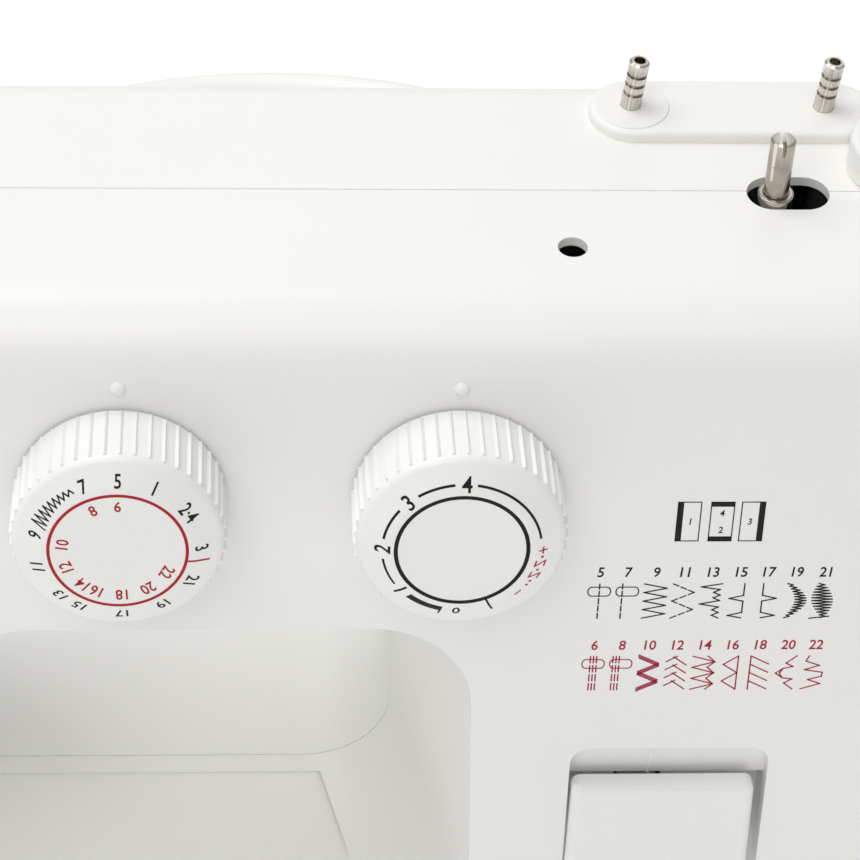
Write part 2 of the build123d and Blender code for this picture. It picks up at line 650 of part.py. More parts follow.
with BuildPart() as lower_pulley:
    toothed_pulley(PULLEY_X, LOWER_Y, LOWER_Z, PULLEY_RADIUS, SHAFT_RADIUS)
save(lower_pulley, "lower_pulley")


def belt_outline(a, b, radius_a, radius_b):
    """Closed outline round two circles, in the line builder in use; a lies above b."""
    dy = b[0] - a[0]
    dz = b[1] - a[1]
    length = sqrt(dy * dy + dz * dz)
    base = atan2(dz, dy)
    lean = atan2(sqrt(length ** 2 - (radius_a - radius_b) ** 2), radius_a - radius_b)
    points = []
    for centre, radius in ((a, radius_a), (b, radius_b)):
        for side in (1, -1):
            angle = base + side * lean
            points.append((centre[0] + radius * cos(angle), centre[1] + radius * sin(angle)))
    far_a = (a[0] - radius_a * cos(base), a[1] - radius_a * sin(base))
    far_b = (b[0] + radius_b * cos(base), b[1] + radius_b * sin(base))
    ThreePointArc(points[0], far_a, points[1])
    Line(points[1], points[3])
    ThreePointArc(points[3], far_b, points[2])
    Line(points[2], points[0])


def belt(x, width, a, b, radius_a, radius_b):
    """Endless belt round two pulleys."""
    with BuildPart() as loop:
        with BuildSketch(Plane.YZ.offset(x)):
            with BuildLine():
                belt_outline(a, b, radius_a + BELT_THICK, radius_b + BELT_THICK)
            make_face()
        extrude(amount=width)
        with BuildSketch(Plane.YZ.offset(x)):
            with BuildLine():
                belt_outline(a, b, radius_a + FIT / 2, radius_b + FIT / 2)
            make_face()
        extrude(amount=width, mode=Mode.SUBTRACT)
    return loop


timing_belt = belt(
    PULLEY_X + 0.5, PULLEY_WIDTH - 1.0, (SHAFT_Y, SHAFT_Z), (LOWER_Y, LOWER_Z), PULLEY_RADIUS, PULLEY_RADIUS
)
save(timing_belt, "timing_belt")

MOTOR_X = (68.0, 114.0)             # ends of the motor's body
MOTOR_EDGE = 3.0
MOTOR_NOSE = (8.0, 4.0)             # radius and length
MOTOR_SHAFT_RADIUS = 3.0
MOTOR_FOOT_X = (80.0, 104.0)
MOTOR_FOOT = (8.0, 4.0)             # half height and thickness
MOTOR_PULLEY_LIP = 2.4

with BuildPart() as motor_pulley:
    lip = MOTOR_PULLEY_RADIUS + MOTOR_PULLEY_LIP
    x_rod(WHEEL_PULLEY_X - FLANGE, *MOTOR_AXIS, lip, BELT_GROOVE + 2 * FLANGE)
    x_rod(WHEEL_PULLEY_X, *MOTOR_AXIS, lip + 1, BELT_GROOVE, Mode.SUBTRACT)
    x_rod(WHEEL_PULLEY_X - 0.5, *MOTOR_AXIS, MOTOR_PULLEY_RADIUS, BELT_GROOVE + 1)
    nose_end = MOTOR_X[1] + MOTOR_NOSE[1]
    x_rod(nose_end + FIT, *MOTOR_AXIS, MOTOR_SHAFT_RADIUS, WHEEL_PULLEY_X - nose_end)
save(motor_pulley, "motor_pulley")

motor_belt = belt(
    WHEEL_PULLEY_X + 0.5,
    BELT_GROOVE - 1,
    (SHAFT_Y, SHAFT_Z),
    MOTOR_AXIS,
    WHEEL_PULLEY_RADIUS,
    MOTOR_PULLEY_RADIUS,
)
save(motor_belt, "motor_belt")

with BuildPart() as motor:
    x_rod(MOTOR_X[0], *MOTOR_AXIS, MOTOR_RADIUS, MOTOR_X[1] - MOTOR_X[0])
    fillet(edges().filter_by(GeomType.CIRCLE), MOTOR_EDGE)
    x_rod(MOTOR_X[1], *MOTOR_AXIS, *MOTOR_NOSE)
    foot_half, foot_thick = MOTOR_FOOT
    block(
        (MOTOR_FOOT_X[0], web_rear, MOTOR_AXIS[1] - foot_half),
        (MOTOR_FOOT_X[1], web_rear + foot_thick, MOTOR_AXIS[1] + foot_half),
    )
    # flat back against the frame
    block(
        (LEFT_X, web_rear, BASE_Z),
        (RIGHT_X, REAR_BASE_Y, TOP_Z),
        Mode.INTERSECT,
    )
save(motor, "motor")

# ---------------------------------------------------------------- handwheel
WHEEL_GRIPS = 30
WHEEL_GRIP_RADIUS = 1.8
WHEEL_BOWL = (24.0, 9.0)            # radius and depth
KNOB_RADIUS = 17.0
KNOB_GRIPS = 16
KNOB_GRIP_RADIUS = 1.6

with BuildPart() as handwheel:
    bowl_radius, bowl_depth = WHEEL_BOWL
    x_rod(WHEEL_X, SHAFT_Y, SHAFT_Z, WHEEL_RADIUS, WHEEL_WIDTH - 3)
    fillet(edges().filter_by(GeomType.CIRCLE).sort_by(Axis.X)[-1], 4.0)
    fillet(edges().filter_by(GeomType.CIRCLE).sort_by(Axis.X)[0], 2.0)
    x_rod(WHEEL_X + WHEEL_WIDTH - bowl_depth, SHAFT_Y, SHAFT_Z, bowl_radius, bowl_depth + 1, Mode.SUBTRACT)
    for index in range(WHEEL_GRIPS):
        angle = 2 * pi * index / WHEEL_GRIPS
        y = SHAFT_Y + (WHEEL_RADIUS + 0.8) * cos(angle)
        z = SHAFT_Z + (WHEEL_RADIUS + 0.8) * sin(angle)
        x_rod(WHEEL_X - 1, y, z, WHEEL_GRIP_RADIUS, WHEEL_WIDTH + 2, Mode.SUBTRACT)
    # hub through the case and the belt groove on its inner end
    x_rod(WHEEL_PULLEY_X, SHAFT_Y, SHAFT_Z, AXLE_HOLE - 1.5, WHEEL_X - WHEEL_PULLEY_X + 1)
    x_rod(WHEEL_PULLEY_X, SHAFT_Y, SHAFT_Z, WHEEL_PULLEY_RADIUS, BELT_GROOVE)
    for flange in (WHEEL_PULLEY_X - FLANGE, WHEEL_PULLEY_X + BELT_GROOVE):
        x_rod(flange, SHAFT_Y, SHAFT_Z, WHEEL_PULLEY_RADIUS + 2 * FLANGE, FLANGE)
    x_rod(WHEEL_PULLEY_X - 2 * FLANGE, SHAFT_Y, SHAFT_Z, SHAFT_RADIUS, BEYOND + WHEEL_WIDTH, Mode.SUBTRACT)
save(handwheel, "handwheel")

with BuildPart() as clutch_knob:
    x_rod(WHEEL_X + WHEEL_WIDTH - bowl_depth + FIT, SHAFT_Y, SHAFT_Z, KNOB_RADIUS, bowl_depth - FIT)
    fillet(edges().filter_by(GeomType.CIRCLE).sort_by(Axis.X)[-1], 2.0)
    for index in range(KNOB_GRIPS):
        angle = 2 * pi * index / KNOB_GRIPS
        y = SHAFT_Y + (KNOB_RADIUS + 0.6) * cos(angle)
        z = SHAFT_Z + (KNOB_RADIUS + 0.6) * sin(angle)
        x_rod(WHEEL_X, y, z, KNOB_GRIP_RADIUS, WHEEL_WIDTH + 2, Mode.SUBTRACT)
    x_rod(WHEEL_X, SHAFT_Y, SHAFT_Z, SHAFT_RADIUS + RUN, SHAFT_BEYOND + 1, Mode.SUBTRACT)
save(clutch_knob, "clutch_knob")

# ---------------------------------------------------------------- lower shaft and hook
CROSS_GEAR = 14.0
HOOK_GEAR = 7.0
GEAR_FACE = 2.0

with BuildPart() as lower_shaft:
    x_rod(-122, LOWER_Y, LOWER_Z, SHAFT_RADIUS, 122 + PULLEY_X + PULLEY_WIDTH + 3)
    # bevel blank that drives the hook
    with BuildSketch(Plane.XY.offset(LOWER_Z)):
        with BuildLine():
            Polyline(
                (NEEDLE_X + HOOK_GEAR - GEAR_FACE, LOWER_Y),
                (NEEDLE_X + HOOK_GEAR - GEAR_FACE, LOWER_Y + CROSS_GEAR - 2 * GEAR_FACE - FIT),
                (NEEDLE_X + HOOK_GEAR, LOWER_Y + CROSS_GEAR - FIT),
                (NEEDLE_X + HOOK_GEAR + 2, LOWER_Y + CROSS_GEAR - FIT),
                (NEEDLE_X + HOOK_GEAR + 2, LOWER_Y + 8),
                (NEEDLE_X + HOOK_GEAR + 8, LOWER_Y + 8),
                (NEEDLE_X + HOOK_GEAR + 8, LOWER_Y),
                close=True,
            )
        make_face()
    revolve(axis=Axis((0, LOWER_Y, LOWER_Z), (1, 0, 0)))
save(lower_shaft, "lower_shaft")

HOOK_RADIUS = 16.0
HOOK_FRONT = -27.0
HOOK_BACK = -10.0
HOOK_BORE = 13.2
HOOK_STEM = 3.0
HOOK_HUB = (4.5, -4.6)              # radius, and Y of its front
RACE_RADIUS = 19.2
RACE_WIDTH = 12.0
BOBBIN_CASE_RADIUS = 12.6
BOBBIN_CASE_WALL = 1.0
BOBBIN_CASE_FRONT = -26.6
BOBBIN_CASE_LENGTH = 13.4
BOBBIN_POST = 2.7
BOBBIN_RADIUS = 10.15
BOBBIN_CORE = 4.2
BOBBIN_BORE = 3.0
BOBBIN_WIDTH = 11.7
BOBBIN_FRONT = -25.3

with BuildPart() as hook:
    y_rod(NEEDLE_X, HOOK_FRONT, LOWER_Z, HOOK_RADIUS, HOOK_BACK - HOOK_FRONT)
    y_rod(NEEDLE_X, HOOK_FRONT - 1, LOWER_Z, HOOK_BORE, HOOK_BACK - HOOK_FRONT - 2, Mode.SUBTRACT)
    # cut-away that forms the hook's beak
    block(
        (NEEDLE_X - HOOK_RADIUS - 1, HOOK_FRONT - 1, LOWER_Z - HOOK_RADIUS - 1),
        (NEEDLE_X - 2, HOOK_BACK - 7, LOWER_Z + 4),
        Mode.SUBTRACT,
    )
    y_rod(NEEDLE_X, HOOK_BACK - 1, LOWER_Z, HOOK_STEM, 9)
    with BuildSketch(Plane.XY.offset(LOWER_Z)):
        with BuildLine():
            Polyline(
                (NEEDLE_X, HOOK_HUB[1]),
                (NEEDLE_X + HOOK_HUB[0], HOOK_HUB[1]),
                (NEEDLE_X + HOOK_HUB[0], 0),
                (NEEDLE_X + HOOK_GEAR - FIT, 0),
                (NEEDLE_X + HOOK_GEAR - GEAR_FACE - FIT, 2 * GEAR_FACE),
                (NEEDLE_X, 2 * GEAR_FACE),
                close=True,
            )
        make_face()
    revolve(axis=Axis((NEEDLE_X, 0, LOWER_Z), (0, 1, 0)))
save(hook, "hook")

with BuildPart() as shuttle_race:
    y_rod(NEEDLE_X, HOOK_FRONT + 2, LOWER_Z, RACE_RADIUS, RACE_WIDTH)
    y_rod(NEEDLE_X, HOOK_FRONT, LOWER_Z, HOOK_RADIUS + FIT, RACE_WIDTH + 8, Mode.SUBTRACT)
    block(
        (NEEDLE_X - 7, HOOK_FRONT + 3, BASE_Z + BASE_THICK),
        (NEEDLE_X + 7, HOOK_FRONT + 11, BED_BEAM_TOP - 1.5),
    )
save(shuttle_race, "shuttle_race")

with BuildPart() as bobbin_case:
    y_rod(NEEDLE_X, BOBBIN_CASE_FRONT, LOWER_Z, BOBBIN_CASE_RADIUS, BOBBIN_CASE_LENGTH)
    hollow = BOBBIN_CASE_RADIUS - BOBBIN_CASE_WALL
    y_rod(NEEDLE_X, BOBBIN_CASE_FRONT + BOBBIN_CASE_WALL, LOWER_Z, hollow, BOBBIN_CASE_LENGTH, Mode.SUBTRACT)
    y_rod(NEEDLE_X, BOBBIN_CASE_FRONT, LOWER_Z, BOBBIN_POST, BOBBIN_CASE_LENGTH - 0.2)
    # latch
    block(
        (NEEDLE_X - 4, BOBBIN_CASE_FRONT - 3, LOWER_Z - 1),
        (NEEDLE_X + 9, BOBBIN_CASE_FRONT + 0.6, LOWER_Z + 1),
    )
save(bobbin_case, "bobbin_case")

with BuildPart() as bobbin:
    y_rod(NEEDLE_X, BOBBIN_FRONT, LOWER_Z, BOBBIN_RADIUS, BOBBIN_WIDTH)
    y_rod(NEEDLE_X, BOBBIN_FRONT + 1, LOWER_Z, BOBBIN_RADIUS + 0.5, BOBBIN_WIDTH - 2, Mode.SUBTRACT)
    y_rod(NEEDLE_X, BOBBIN_FRONT, LOWER_Z, BOBBIN_CORE, BOBBIN_WIDTH)
    y_rod(NEEDLE_X, BOBBIN_FRONT - 1, LOWER_Z, BOBBIN_BORE, BOBBIN_WIDTH + 2, Mode.SUBTRACT)
save(bobbin, "bobbin")

# ---------------------------------------------------------------- needle and presser group
NEEDLE_BAR_LOW = 112.0
NEEDLE_BAR_TOP = 264.0

ROD_LOW = 197.0             # the rod's lower pivot
ROD_EYE_RADIUS = 4.6
ROD_THICK = 3.3
ROD_HALF = 2.4
CLAMP_RADIUS = 5.0
CLAMP_LENGTH = 12.0
CLAMP_SINK = 6.0            # how far the bar and the needle go into the clamp
THUMB_STEM_RADIUS = 1.6
THUMB_LENGTH = 4.0
CLAMP_THUMB_RADIUS = 3.4
NEEDLE_TIP = 80.0
NEEDLE_SHANK = 98.0
SHANK_RADIUS = 1.0
BLADE_RADIUS = 0.5
EYE_RADIUS = 0.2
POINT_LENGTH = 4.0
POINT_RADIUS = 0.08
PRESSER_LOW = 92.0
PRESSER_LENGTH = 168.0
PRESSER_BLOCK = (160.0, 168.0)      # Z of the block that the lifter raises
SPRING_RADIUS = 5.2
SPRING_BORE = 3.9
SPRING_LENGTH = 79.0

with BuildPart() as needle_bar:
    bar_low = NEEDLE_BAR_LOW + CLAMP_SINK
    z_rod(NEEDLE_X, SHAFT_Y, bar_low, NEEDLE_RADIUS, NEEDLE_BAR_TOP - bar_low)
    block((NEEDLE_X - 5, SHAFT_Y - 4, ROD_LOW - 5), (NEEDLE_X + 2.2, SHAFT_Y + 4, ROD_LOW + 5))
save(needle_bar, "needle_bar")

with BuildPart() as connecting_rod:
    eyes = (SHAFT_Z + CRANK_THROW, ROD_LOW)
    for z in eyes:
        x_rod(ROD_X, SHAFT_Y, z, ROD_EYE_RADIUS, ROD_THICK)
    block((ROD_X, SHAFT_Y - ROD_HALF, eyes[1]), (ROD_X + ROD_THICK, SHAFT_Y + ROD_HALF, eyes[0]))
    for z in eyes:
        x_rod(ROD_X - 1, SHAFT_Y, z, CRANK_PIN_RADIUS + RUN, ROD_THICK + 2, Mode.SUBTRACT)
save(connecting_rod, "connecting_rod")

with BuildPart() as needle_clamp:
    z_rod(NEEDLE_X, SHAFT_Y, NEEDLE_BAR_LOW, CLAMP_RADIUS, CLAMP_LENGTH)
    z_rod(NEEDLE_X, SHAFT_Y, NEEDLE_BAR_LOW + CLAMP_SINK, NEEDLE_RADIUS, CLAMP_LENGTH, Mode.SUBTRACT)
    z_rod(NEEDLE_X, SHAFT_Y, NEEDLE_BAR_LOW - 1, SHANK_RADIUS, CLAMP_SINK + 2, Mode.SUBTRACT)
    thumb_z = NEEDLE_BAR_LOW + CLAMP_SINK / 2
    x_rod(NEEDLE_X + CLAMP_RADIUS - 1, SHAFT_Y, thumb_z, THUMB_STEM_RADIUS, THUMB_LENGTH)
    x_rod(NEEDLE_X + CLAMP_RADIUS + 3, SHAFT_Y, thumb_z, CLAMP_THUMB_RADIUS, THUMB_LENGTH)
save(needle_clamp, "needle_clamp")

with BuildPart() as needle:
    blade_low = NEEDLE_TIP + POINT_LENGTH
    z_rod(NEEDLE_X, SHAFT_Y, NEEDLE_SHANK, SHANK_RADIUS, NEEDLE_BAR_LOW + CLAMP_SINK - NEEDLE_SHANK)
    z_rod(NEEDLE_X, SHAFT_Y, blade_low, BLADE_RADIUS, NEEDLE_SHANK - blade_low)
    with Locations((NEEDLE_X, SHAFT_Y, NEEDLE_TIP)):
        Cone(POINT_RADIUS, BLADE_RADIUS, POINT_LENGTH, align=MIN_Z)
    y_rod(NEEDLE_X, SHAFT_Y - 1, blade_low + 1.5, EYE_RADIUS, 2, Mode.SUBTRACT)
save(needle, "needle")

with BuildPart() as presser_bar:
    z_rod(NEEDLE_X, PRESSER_Y, PRESSER_LOW, PRESSER_RADIUS, PRESSER_LENGTH)
    block((NEEDLE_X - 5, PRESSER_Y - 5, PRESSER_BLOCK[0]), (NEEDLE_X + 5, PRESSER_Y + 5, PRESSER_BLOCK[1]))
save(presser_bar, "presser_bar")

with BuildPart() as presser_spring:
    spring_low = PRESSER_BLOCK[1] + 2
    z_rod(NEEDLE_X, PRESSER_Y, spring_low, SPRING_RADIUS, SPRING_LENGTH)
    z_rod(NEEDLE_X, PRESSER_Y, spring_low - 1, SPRING_BORE, SPRING_LENGTH + 2, Mode.SUBTRACT)
save(presser_spring, "presser_spring")

FOOT_PIVOT = (2.0, 76.0)            # Y, Z of the presser foot's cross pin
FOOT_PIN_RADIUS = 1.5
FOOT_THUMB_RADIUS = 4.2
FOOT_THUMB_Z = 95.0
HOLDER_Z = (79.0, 100.0)
HOLDER_HALF = 4.5
TONGUE_HALF = 3.5
SOLE_Z = (67.2, 69.2)
SOLE_HALF = 9.0
SOLE_Y = (-20.0, 8.0)
CHEEK_HALF = 1.0
CHEEK_OUT = 5.0

with BuildPart() as foot_holder:
    block(
        (NEEDLE_X - HOLDER_HALF, PRESSER_Y - 6, HOLDER_Z[0]),
        (NEEDLE_X + HOLDER_HALF, PRESSER_Y + HOLDER_HALF, HOLDER_Z[1]),
    )
    z_rod(NEEDLE_X, PRESSER_Y, PRESSER_LOW, PRESSER_RADIUS, HOLDER_Z[1] - PRESSER_LOW + 2, Mode.SUBTRACT)
    block(
        (NEEDLE_X - TONGUE_HALF, FOOT_PIVOT[0] - 3, FOOT_PIVOT[1] - 2.5),
        (NEEDLE_X + TONGUE_HALF, PRESSER_Y, HOLDER_Z[0] + 5),
    )
    x_rod(NEEDLE_X - TONGUE_HALF - 1, *FOOT_PIVOT, FOOT_PIN_RADIUS, 2 * TONGUE_HALF + 2, Mode.SUBTRACT)
    x_rod(NEEDLE_X + 4, PRESSER_Y, FOOT_THUMB_Z, THUMB_STEM_RADIUS, THUMB_LENGTH + 1)
    x_rod(NEEDLE_X + 8, PRESSER_Y, FOOT_THUMB_Z, FOOT_THUMB_RADIUS, THUMB_LENGTH + 1)
save(foot_holder, "foot_holder")

with BuildPart() as presser_foot:
    block((NEEDLE_X - SOLE_HALF, SOLE_Y[0], SOLE_Z[0]), (NEEDLE_X + SOLE_HALF, SOLE_Y[1], SOLE_Z[1]))
    for side in (-1, 1):
        cheek_x = NEEDLE_X + side * CHEEK_OUT
        block(
            (cheek_x - CHEEK_HALF, FOOT_PIVOT[0] - 3, SOLE_Z[1] - 0.2),
            (cheek_x + CHEEK_HALF, FOOT_PIVOT[0] + 3, FOOT_PIVOT[1] + 2.5),
        )
    x_rod(NEEDLE_X - CHEEK_OUT, *FOOT_PIVOT, FOOT_PIN_RADIUS - RUN, 2 * CHEEK_OUT)
    # needle's opening and the slot between the toes
    for half, front, back in ((3.5, SHAFT_Y - 2, SHAFT_Y + 2), (1.2, SOLE_Y[0] - 1, SHAFT_Y)):
        block(
            (NEEDLE_X - half, front, SOLE_Z[0] - 1),
            (NEEDLE_X + half, back, SOLE_Z[1] + 1),
            Mode.SUBTRACT,
        )
save(presser_foot, "presser_foot")

LIFTER_HUB = (5.0, 14.0)            # radius and length
LIFTER_THICK = 5.0

with BuildPart() as lifter_lever:
    x, z = LIFTER_PIVOT
    y_rod(x, web_rear + LIFTER_BOSS[1] + FIT, z, *LIFTER_HUB)
    with BuildSketch(Plane.XZ.offset(-(LIFTER_Y + LIFTER_THICK / 2))):
        Polygon(
            (x, z - 4),
            (x + 38, z - 19),
            (x + 48, z - 19),
            (x + 48, z - 13),
            (x + 36, z - 12.5),
            (x + 2, z + 4),
            align=None,
        )
    extrude(amount=LIFTER_THICK)
    y_rod(x, web_rear, z, STUD_RADIUS + RUN, LIFTER_STUD + 8, Mode.SUBTRACT)
save(lifter_lever, "lifter_lever")

TAKE_UP_THICK = 2.0
TAKE_UP_HUB = (4.5, 4.4)            # radius and length
TAKE_UP_EYE = (-49.2, 247.0)        # Y, Z
TAKE_UP_EYE_RADIUS = 1.2
TAKE_UP_OUTLINE = (
    (-22.0, 206.0),
    (-47.0, 243.0),
    (-52.5, 244.5),
    (-50.5, 250.5),
    (-43.5, 247.0),
    (-18.0, 205.0),
)

with BuildPart() as take_up_lever:
    with BuildSketch(Plane.YZ.offset(TAKE_UP_X - TAKE_UP_THICK / 2)):
        Polygon(*TAKE_UP_OUTLINE, align=None)
    extrude(amount=TAKE_UP_THICK)
    x_rod(TAKE_UP_X - 2, *TAKE_UP_PIVOT, *TAKE_UP_HUB)
    x_rod(TAKE_UP_X - 5, *TAKE_UP_PIVOT, STUD_RADIUS + RUN, 10, Mode.SUBTRACT)
    x_rod(TAKE_UP_X - 3, *TAKE_UP_EYE, TAKE_UP_EYE_RADIUS, 6, Mode.SUBTRACT)
save(take_up_lever, "take_up_lever")

TENSION_RADIUS = 12.5
TENSION_DEPTH = 10.0
TENSION_GRIPS = 20
TENSION_SHAFT_BACK = 26.0
DISC_RADIUS = 11.0
DISC_THICK = 1.2

with BuildPart() as tension_dial:
    with BuildSketch(panel(TENSION_X, TENSION_RISE, DIAL_GAP)):
        Circle(TENSION_RADIUS)
    extrude(amount=TENSION_DEPTH)
    fillet(edges().filter_by(GeomType.CIRCLE).sort_by(Axis.Y)[0], 2.0)
    with BuildSketch(panel(TENSION_X, TENSION_RISE, DIAL_GAP)):
        with PolarLocations(TENSION_RADIUS + 0.4, TENSION_GRIPS):
            Circle(1.1)
    extrude(amount=TENSION_DEPTH + 1, mode=Mode.SUBTRACT)
    with BuildSketch(panel(TENSION_X, TENSION_RISE, 2.0)):
        Circle(DIAL_SHAFT_RADIUS)
    extrude(amount=-TENSION_SHAFT_BACK)
save(tension_dial, "tension_dial")

with BuildPart() as tension_discs:
    for proud in (-8.0, -10.6):
        with BuildSketch(panel(TENSION_X, TENSION_RISE, proud)):
            Circle(DISC_RADIUS)
            Circle(DIAL_SHAFT_RADIUS + FIT, mode=Mode.SUBTRACT)
        extrude(amount=-DISC_THICK)
save(tension_discs, "tension_discs")

GUIDE_LEFT = -104.0
GUIDE_Y = (30.0, 38.0)
GUIDE_BASE = (18.0, 1.2)            # length and thickness
GUIDE_HEIGHT = 8.0
GUIDE_WIRE = 1.6

with BuildPart() as thread_guide:
    front, back = GUIDE_Y
    block((GUIDE_LEFT, front, TOP_Z), (GUIDE_LEFT + GUIDE_BASE[0], back, TOP_Z + GUIDE_BASE[1]))
    block((GUIDE_LEFT, front, TOP_Z), (GUIDE_LEFT + GUIDE_WIRE, back, TOP_Z + GUIDE_HEIGHT))
    block((GUIDE_LEFT, back - GUIDE_WIRE, TOP_Z), (GUIDE_LEFT + 12, back, TOP_Z + GUIDE_HEIGHT))
save(thread_guide, "thread_guide")

# ---------------------------------------------------------------- bed
DOG_OUT = 6.5               # the feed dogs' middles lie this far from the needle
DOG_HALF = 1.3
DOG_SLOT_HALF = 1.8
DOG_TOP = 66.2
DOG_TEETH = 8
DOG_PITCH = 2.2
DOG_TOOTH = 0.9
DOG_BASE_Z = (60.2, 62.6)
PLATE_SCREW_Y = -13.0
PLATE_SCREW_X = (PLATE_LEFT + 9, PLATE_RIGHT - 9)

with BuildPart() as needle_plate:
    block(
        (PLATE_LEFT + FIT, PLATE_FRONT + FIT, step_z - PLATE_THICK),
        (PLATE_RIGHT - FIT, PLATE_REAR - FIT, step_z),
    )
    fillet(edges().filter_by(Axis.Z), 2.5)
    low = step_z - 2 * PLATE_THICK
    high = step_z + PLATE_THICK
    block((NEEDLE_X - 4, SHAFT_Y - 1.2, low), (NEEDLE_X + 4, SHAFT_Y + 1.2, high), Mode.SUBTRACT)
    for side in (-1, 1):
        centre = NEEDLE_X + side * DOG_OUT
        block((centre - DOG_SLOT_HALF, -21, low), (centre + DOG_SLOT_HALF, 2.5, high), Mode.SUBTRACT)
    for x in PLATE_SCREW_X:
        z_rod(x, PLATE_SCREW_Y, low, 2.4, high - low, Mode.SUBTRACT)
save(needle_plate, "needle_plate")

with BuildPart() as feed_dogs:
    block((NEEDLE_X - 10, -20, DOG_BASE_Z[0]), (NEEDLE_X + 10, 6, DOG_BASE_Z[1]))
    z_rod(NEEDLE_X, SHAFT_Y, DOG_BASE_Z[0] - 1, 3.5, 5, Mode.SUBTRACT)
    for side in (-1, 1):
        centre = NEEDLE_X + side * DOG_OUT
        block((centre - DOG_HALF, -18, DOG_BASE_Z[1] - 0.6), (centre + DOG_HALF, -0.5, DOG_TOP))
        for index in range(DOG_TEETH):
            with Locations((centre, -17 + DOG_PITCH * index, DOG_TOP)):
                Box(3 * DOG_HALF, DOG_TOOTH, DOG_TOOTH, rotation=(45, 0, 0), mode=Mode.SUBTRACT)
save(feed_dogs, "feed_dogs")

with BuildPart() as shuttle_cover:
    block(
        (SHUTTLE_DOOR[0] + FIT, BOX_REAR, SHUTTLE_DOOR[2] + FIT),
        (SHUTTLE_DOOR[1] - FIT, BOX_REAR + 2.0, SHUTTLE_DOOR[3] - FIT),
    )
save(shuttle_cover, "shuttle_cover")

LID_THICK = 2.0
LID_SEAT = (3.0, 2.0)       # the lid passes the hollow by this much at its ends and front
BOX_LOW = 2.0
box_top = step_z

with BuildPart() as box_form:
    add(plain_form(FIT))
    block(
        (LEFT_X - BEYOND, front_y(BASE_Z) - BEYOND, BASE_Z - 2 * BEYOND),
        (BOX_RIGHT - FIT, BOX_REAR - FIT, box_top),
        Mode.INTERSECT,
    )
    # the box hangs just over the table
    block(
        (LEFT_X - 1, front_y(BASE_Z) - BEYOND, BASE_Z - 3 * BEYOND),
        (RIGHT_X, REAR_BASE_Y, BOX_LOW),
        Mode.SUBTRACT,
    )

BOX_HOLLOW_LEFT = LEFT_X + 8.0
BOX_HOLLOW_RIGHT = BOX_RIGHT - 6.0
BOX_HOLLOW_FRONT = front_y(box_top) + 5.0
BOX_HOLLOW_REAR = BOX_REAR - 3.0
BOX_HOLLOW_LOW = 6.0

with BuildPart() as accessory_box:
    add(box_form.part)
    block(
        (BOX_HOLLOW_LEFT, BOX_HOLLOW_FRONT, BOX_HOLLOW_LOW),
        (BOX_HOLLOW_RIGHT, BOX_HOLLOW_REAR, box_top + 1),
        Mode.SUBTRACT,
    )
    block(
        (BOX_HOLLOW_LEFT - LID_SEAT[0], BOX_HOLLOW_FRONT - LID_SEAT[1], box_top - LID_THICK - FIT),
        (BOX_HOLLOW_RIGHT + LID_SEAT[0], BOX_REAR + 1, box_top + 1),
        Mode.SUBTRACT,
    )
save(accessory_box, "accessory_box")

with BuildPart() as box_lid:
    block(
        (BOX_HOLLOW_LEFT - LID_SEAT[0] + FIT, BOX_HOLLOW_FRONT - LID_SEAT[1] + FIT, box_top - LID_THICK),
        (BOX_HOLLOW_RIGHT + LID_SEAT[0] - FIT, BOX_REAR - 2 * FIT, box_top),
    )
    fillet(edges().filter_by(Axis.Z).group_by(Axis.Y)[0], 3.0)
save(box_lid, "box_lid")

# ---------------------------------------------------------------- dials
CAM_FRONT = -13.5
CAM_PITCH = 3.0
CAM_THICK = 2.4
PATTERN_CAMS = ((15.0, 2.0), (13.0, -2.0), (16.0, 1.0))     # radius and shift of each cam
CAM_HUB_RADIUS = 6.0
LENGTH_CAM = (9.0, 3.0)     # radius and shift
LENGTH_CAM_THICK = 6.0


def panel_dial(x):
    """Ribbed dial; round its flat middle, the face slopes back to the rim."""
    with BuildPart() as dial:
        with BuildSketch(panel(x, 0, DIAL_GAP)):
            Circle(DIAL_RADIUS - RIB_HEIGHT)
        extrude(amount=DIAL_DEPTH - SLOPE_DEPTH - DIAL_GAP)
        with Locations(panel(x, 0, DIAL_DEPTH - SLOPE_DEPTH)):
            Cone(DIAL_RADIUS - RIB_HEIGHT, DIAL_FACE_RADIUS, SLOPE_DEPTH, align=MIN_Z)
        middle = faces().sort_by(Axis.Y)[0].edges()
        fillet(middle, SLOPE_BLEND)
        slope = faces().filter_by(GeomType.CONE)[0]
        rim = slope.edges().filter_by(GeomType.CIRCLE).sort_by(SortBy.RADIUS)[-1]
        fillet(rim, DIAL_RIM)
        with BuildSketch(panel(x, 0, RIB_START)):
            with PolarLocations(DIAL_RADIUS - RIB_HEIGHT, RIB_COUNT):
                Polygon((-RIB_HEIGHT, -RIB_WIDTH), (RIB_HEIGHT, 0), (-RIB_HEIGHT, RIB_WIDTH), align=None)
        extrude(amount=DIAL_DEPTH - RIB_SHOULDER - RIB_START)
        with BuildSketch(panel(x, 0, DIAL_GAP)):
            Circle(DIAL_SHAFT_RADIUS)
        extrude(amount=DIAL_DEPTH / 2, mode=Mode.SUBTRACT)
    return dial


pattern_dial = panel_dial(PATTERN_X)
save(pattern_dial, "pattern_dial")
length_dial = panel_dial(LENGTH_X)
save(length_dial, "length_dial")


def dial_shaft(x):
    """Plain shaft that carries a dial through the panel."""
    with BuildPart() as shaft:
        with BuildSketch(panel(x, 0, DIAL_GAP + DIAL_DEPTH / 2)):
            Circle(DIAL_SHAFT_RADIUS)
        extrude(amount=-DIAL_SHAFT_LENGTH + DIAL_DEPTH / 2)
    return shaft.part


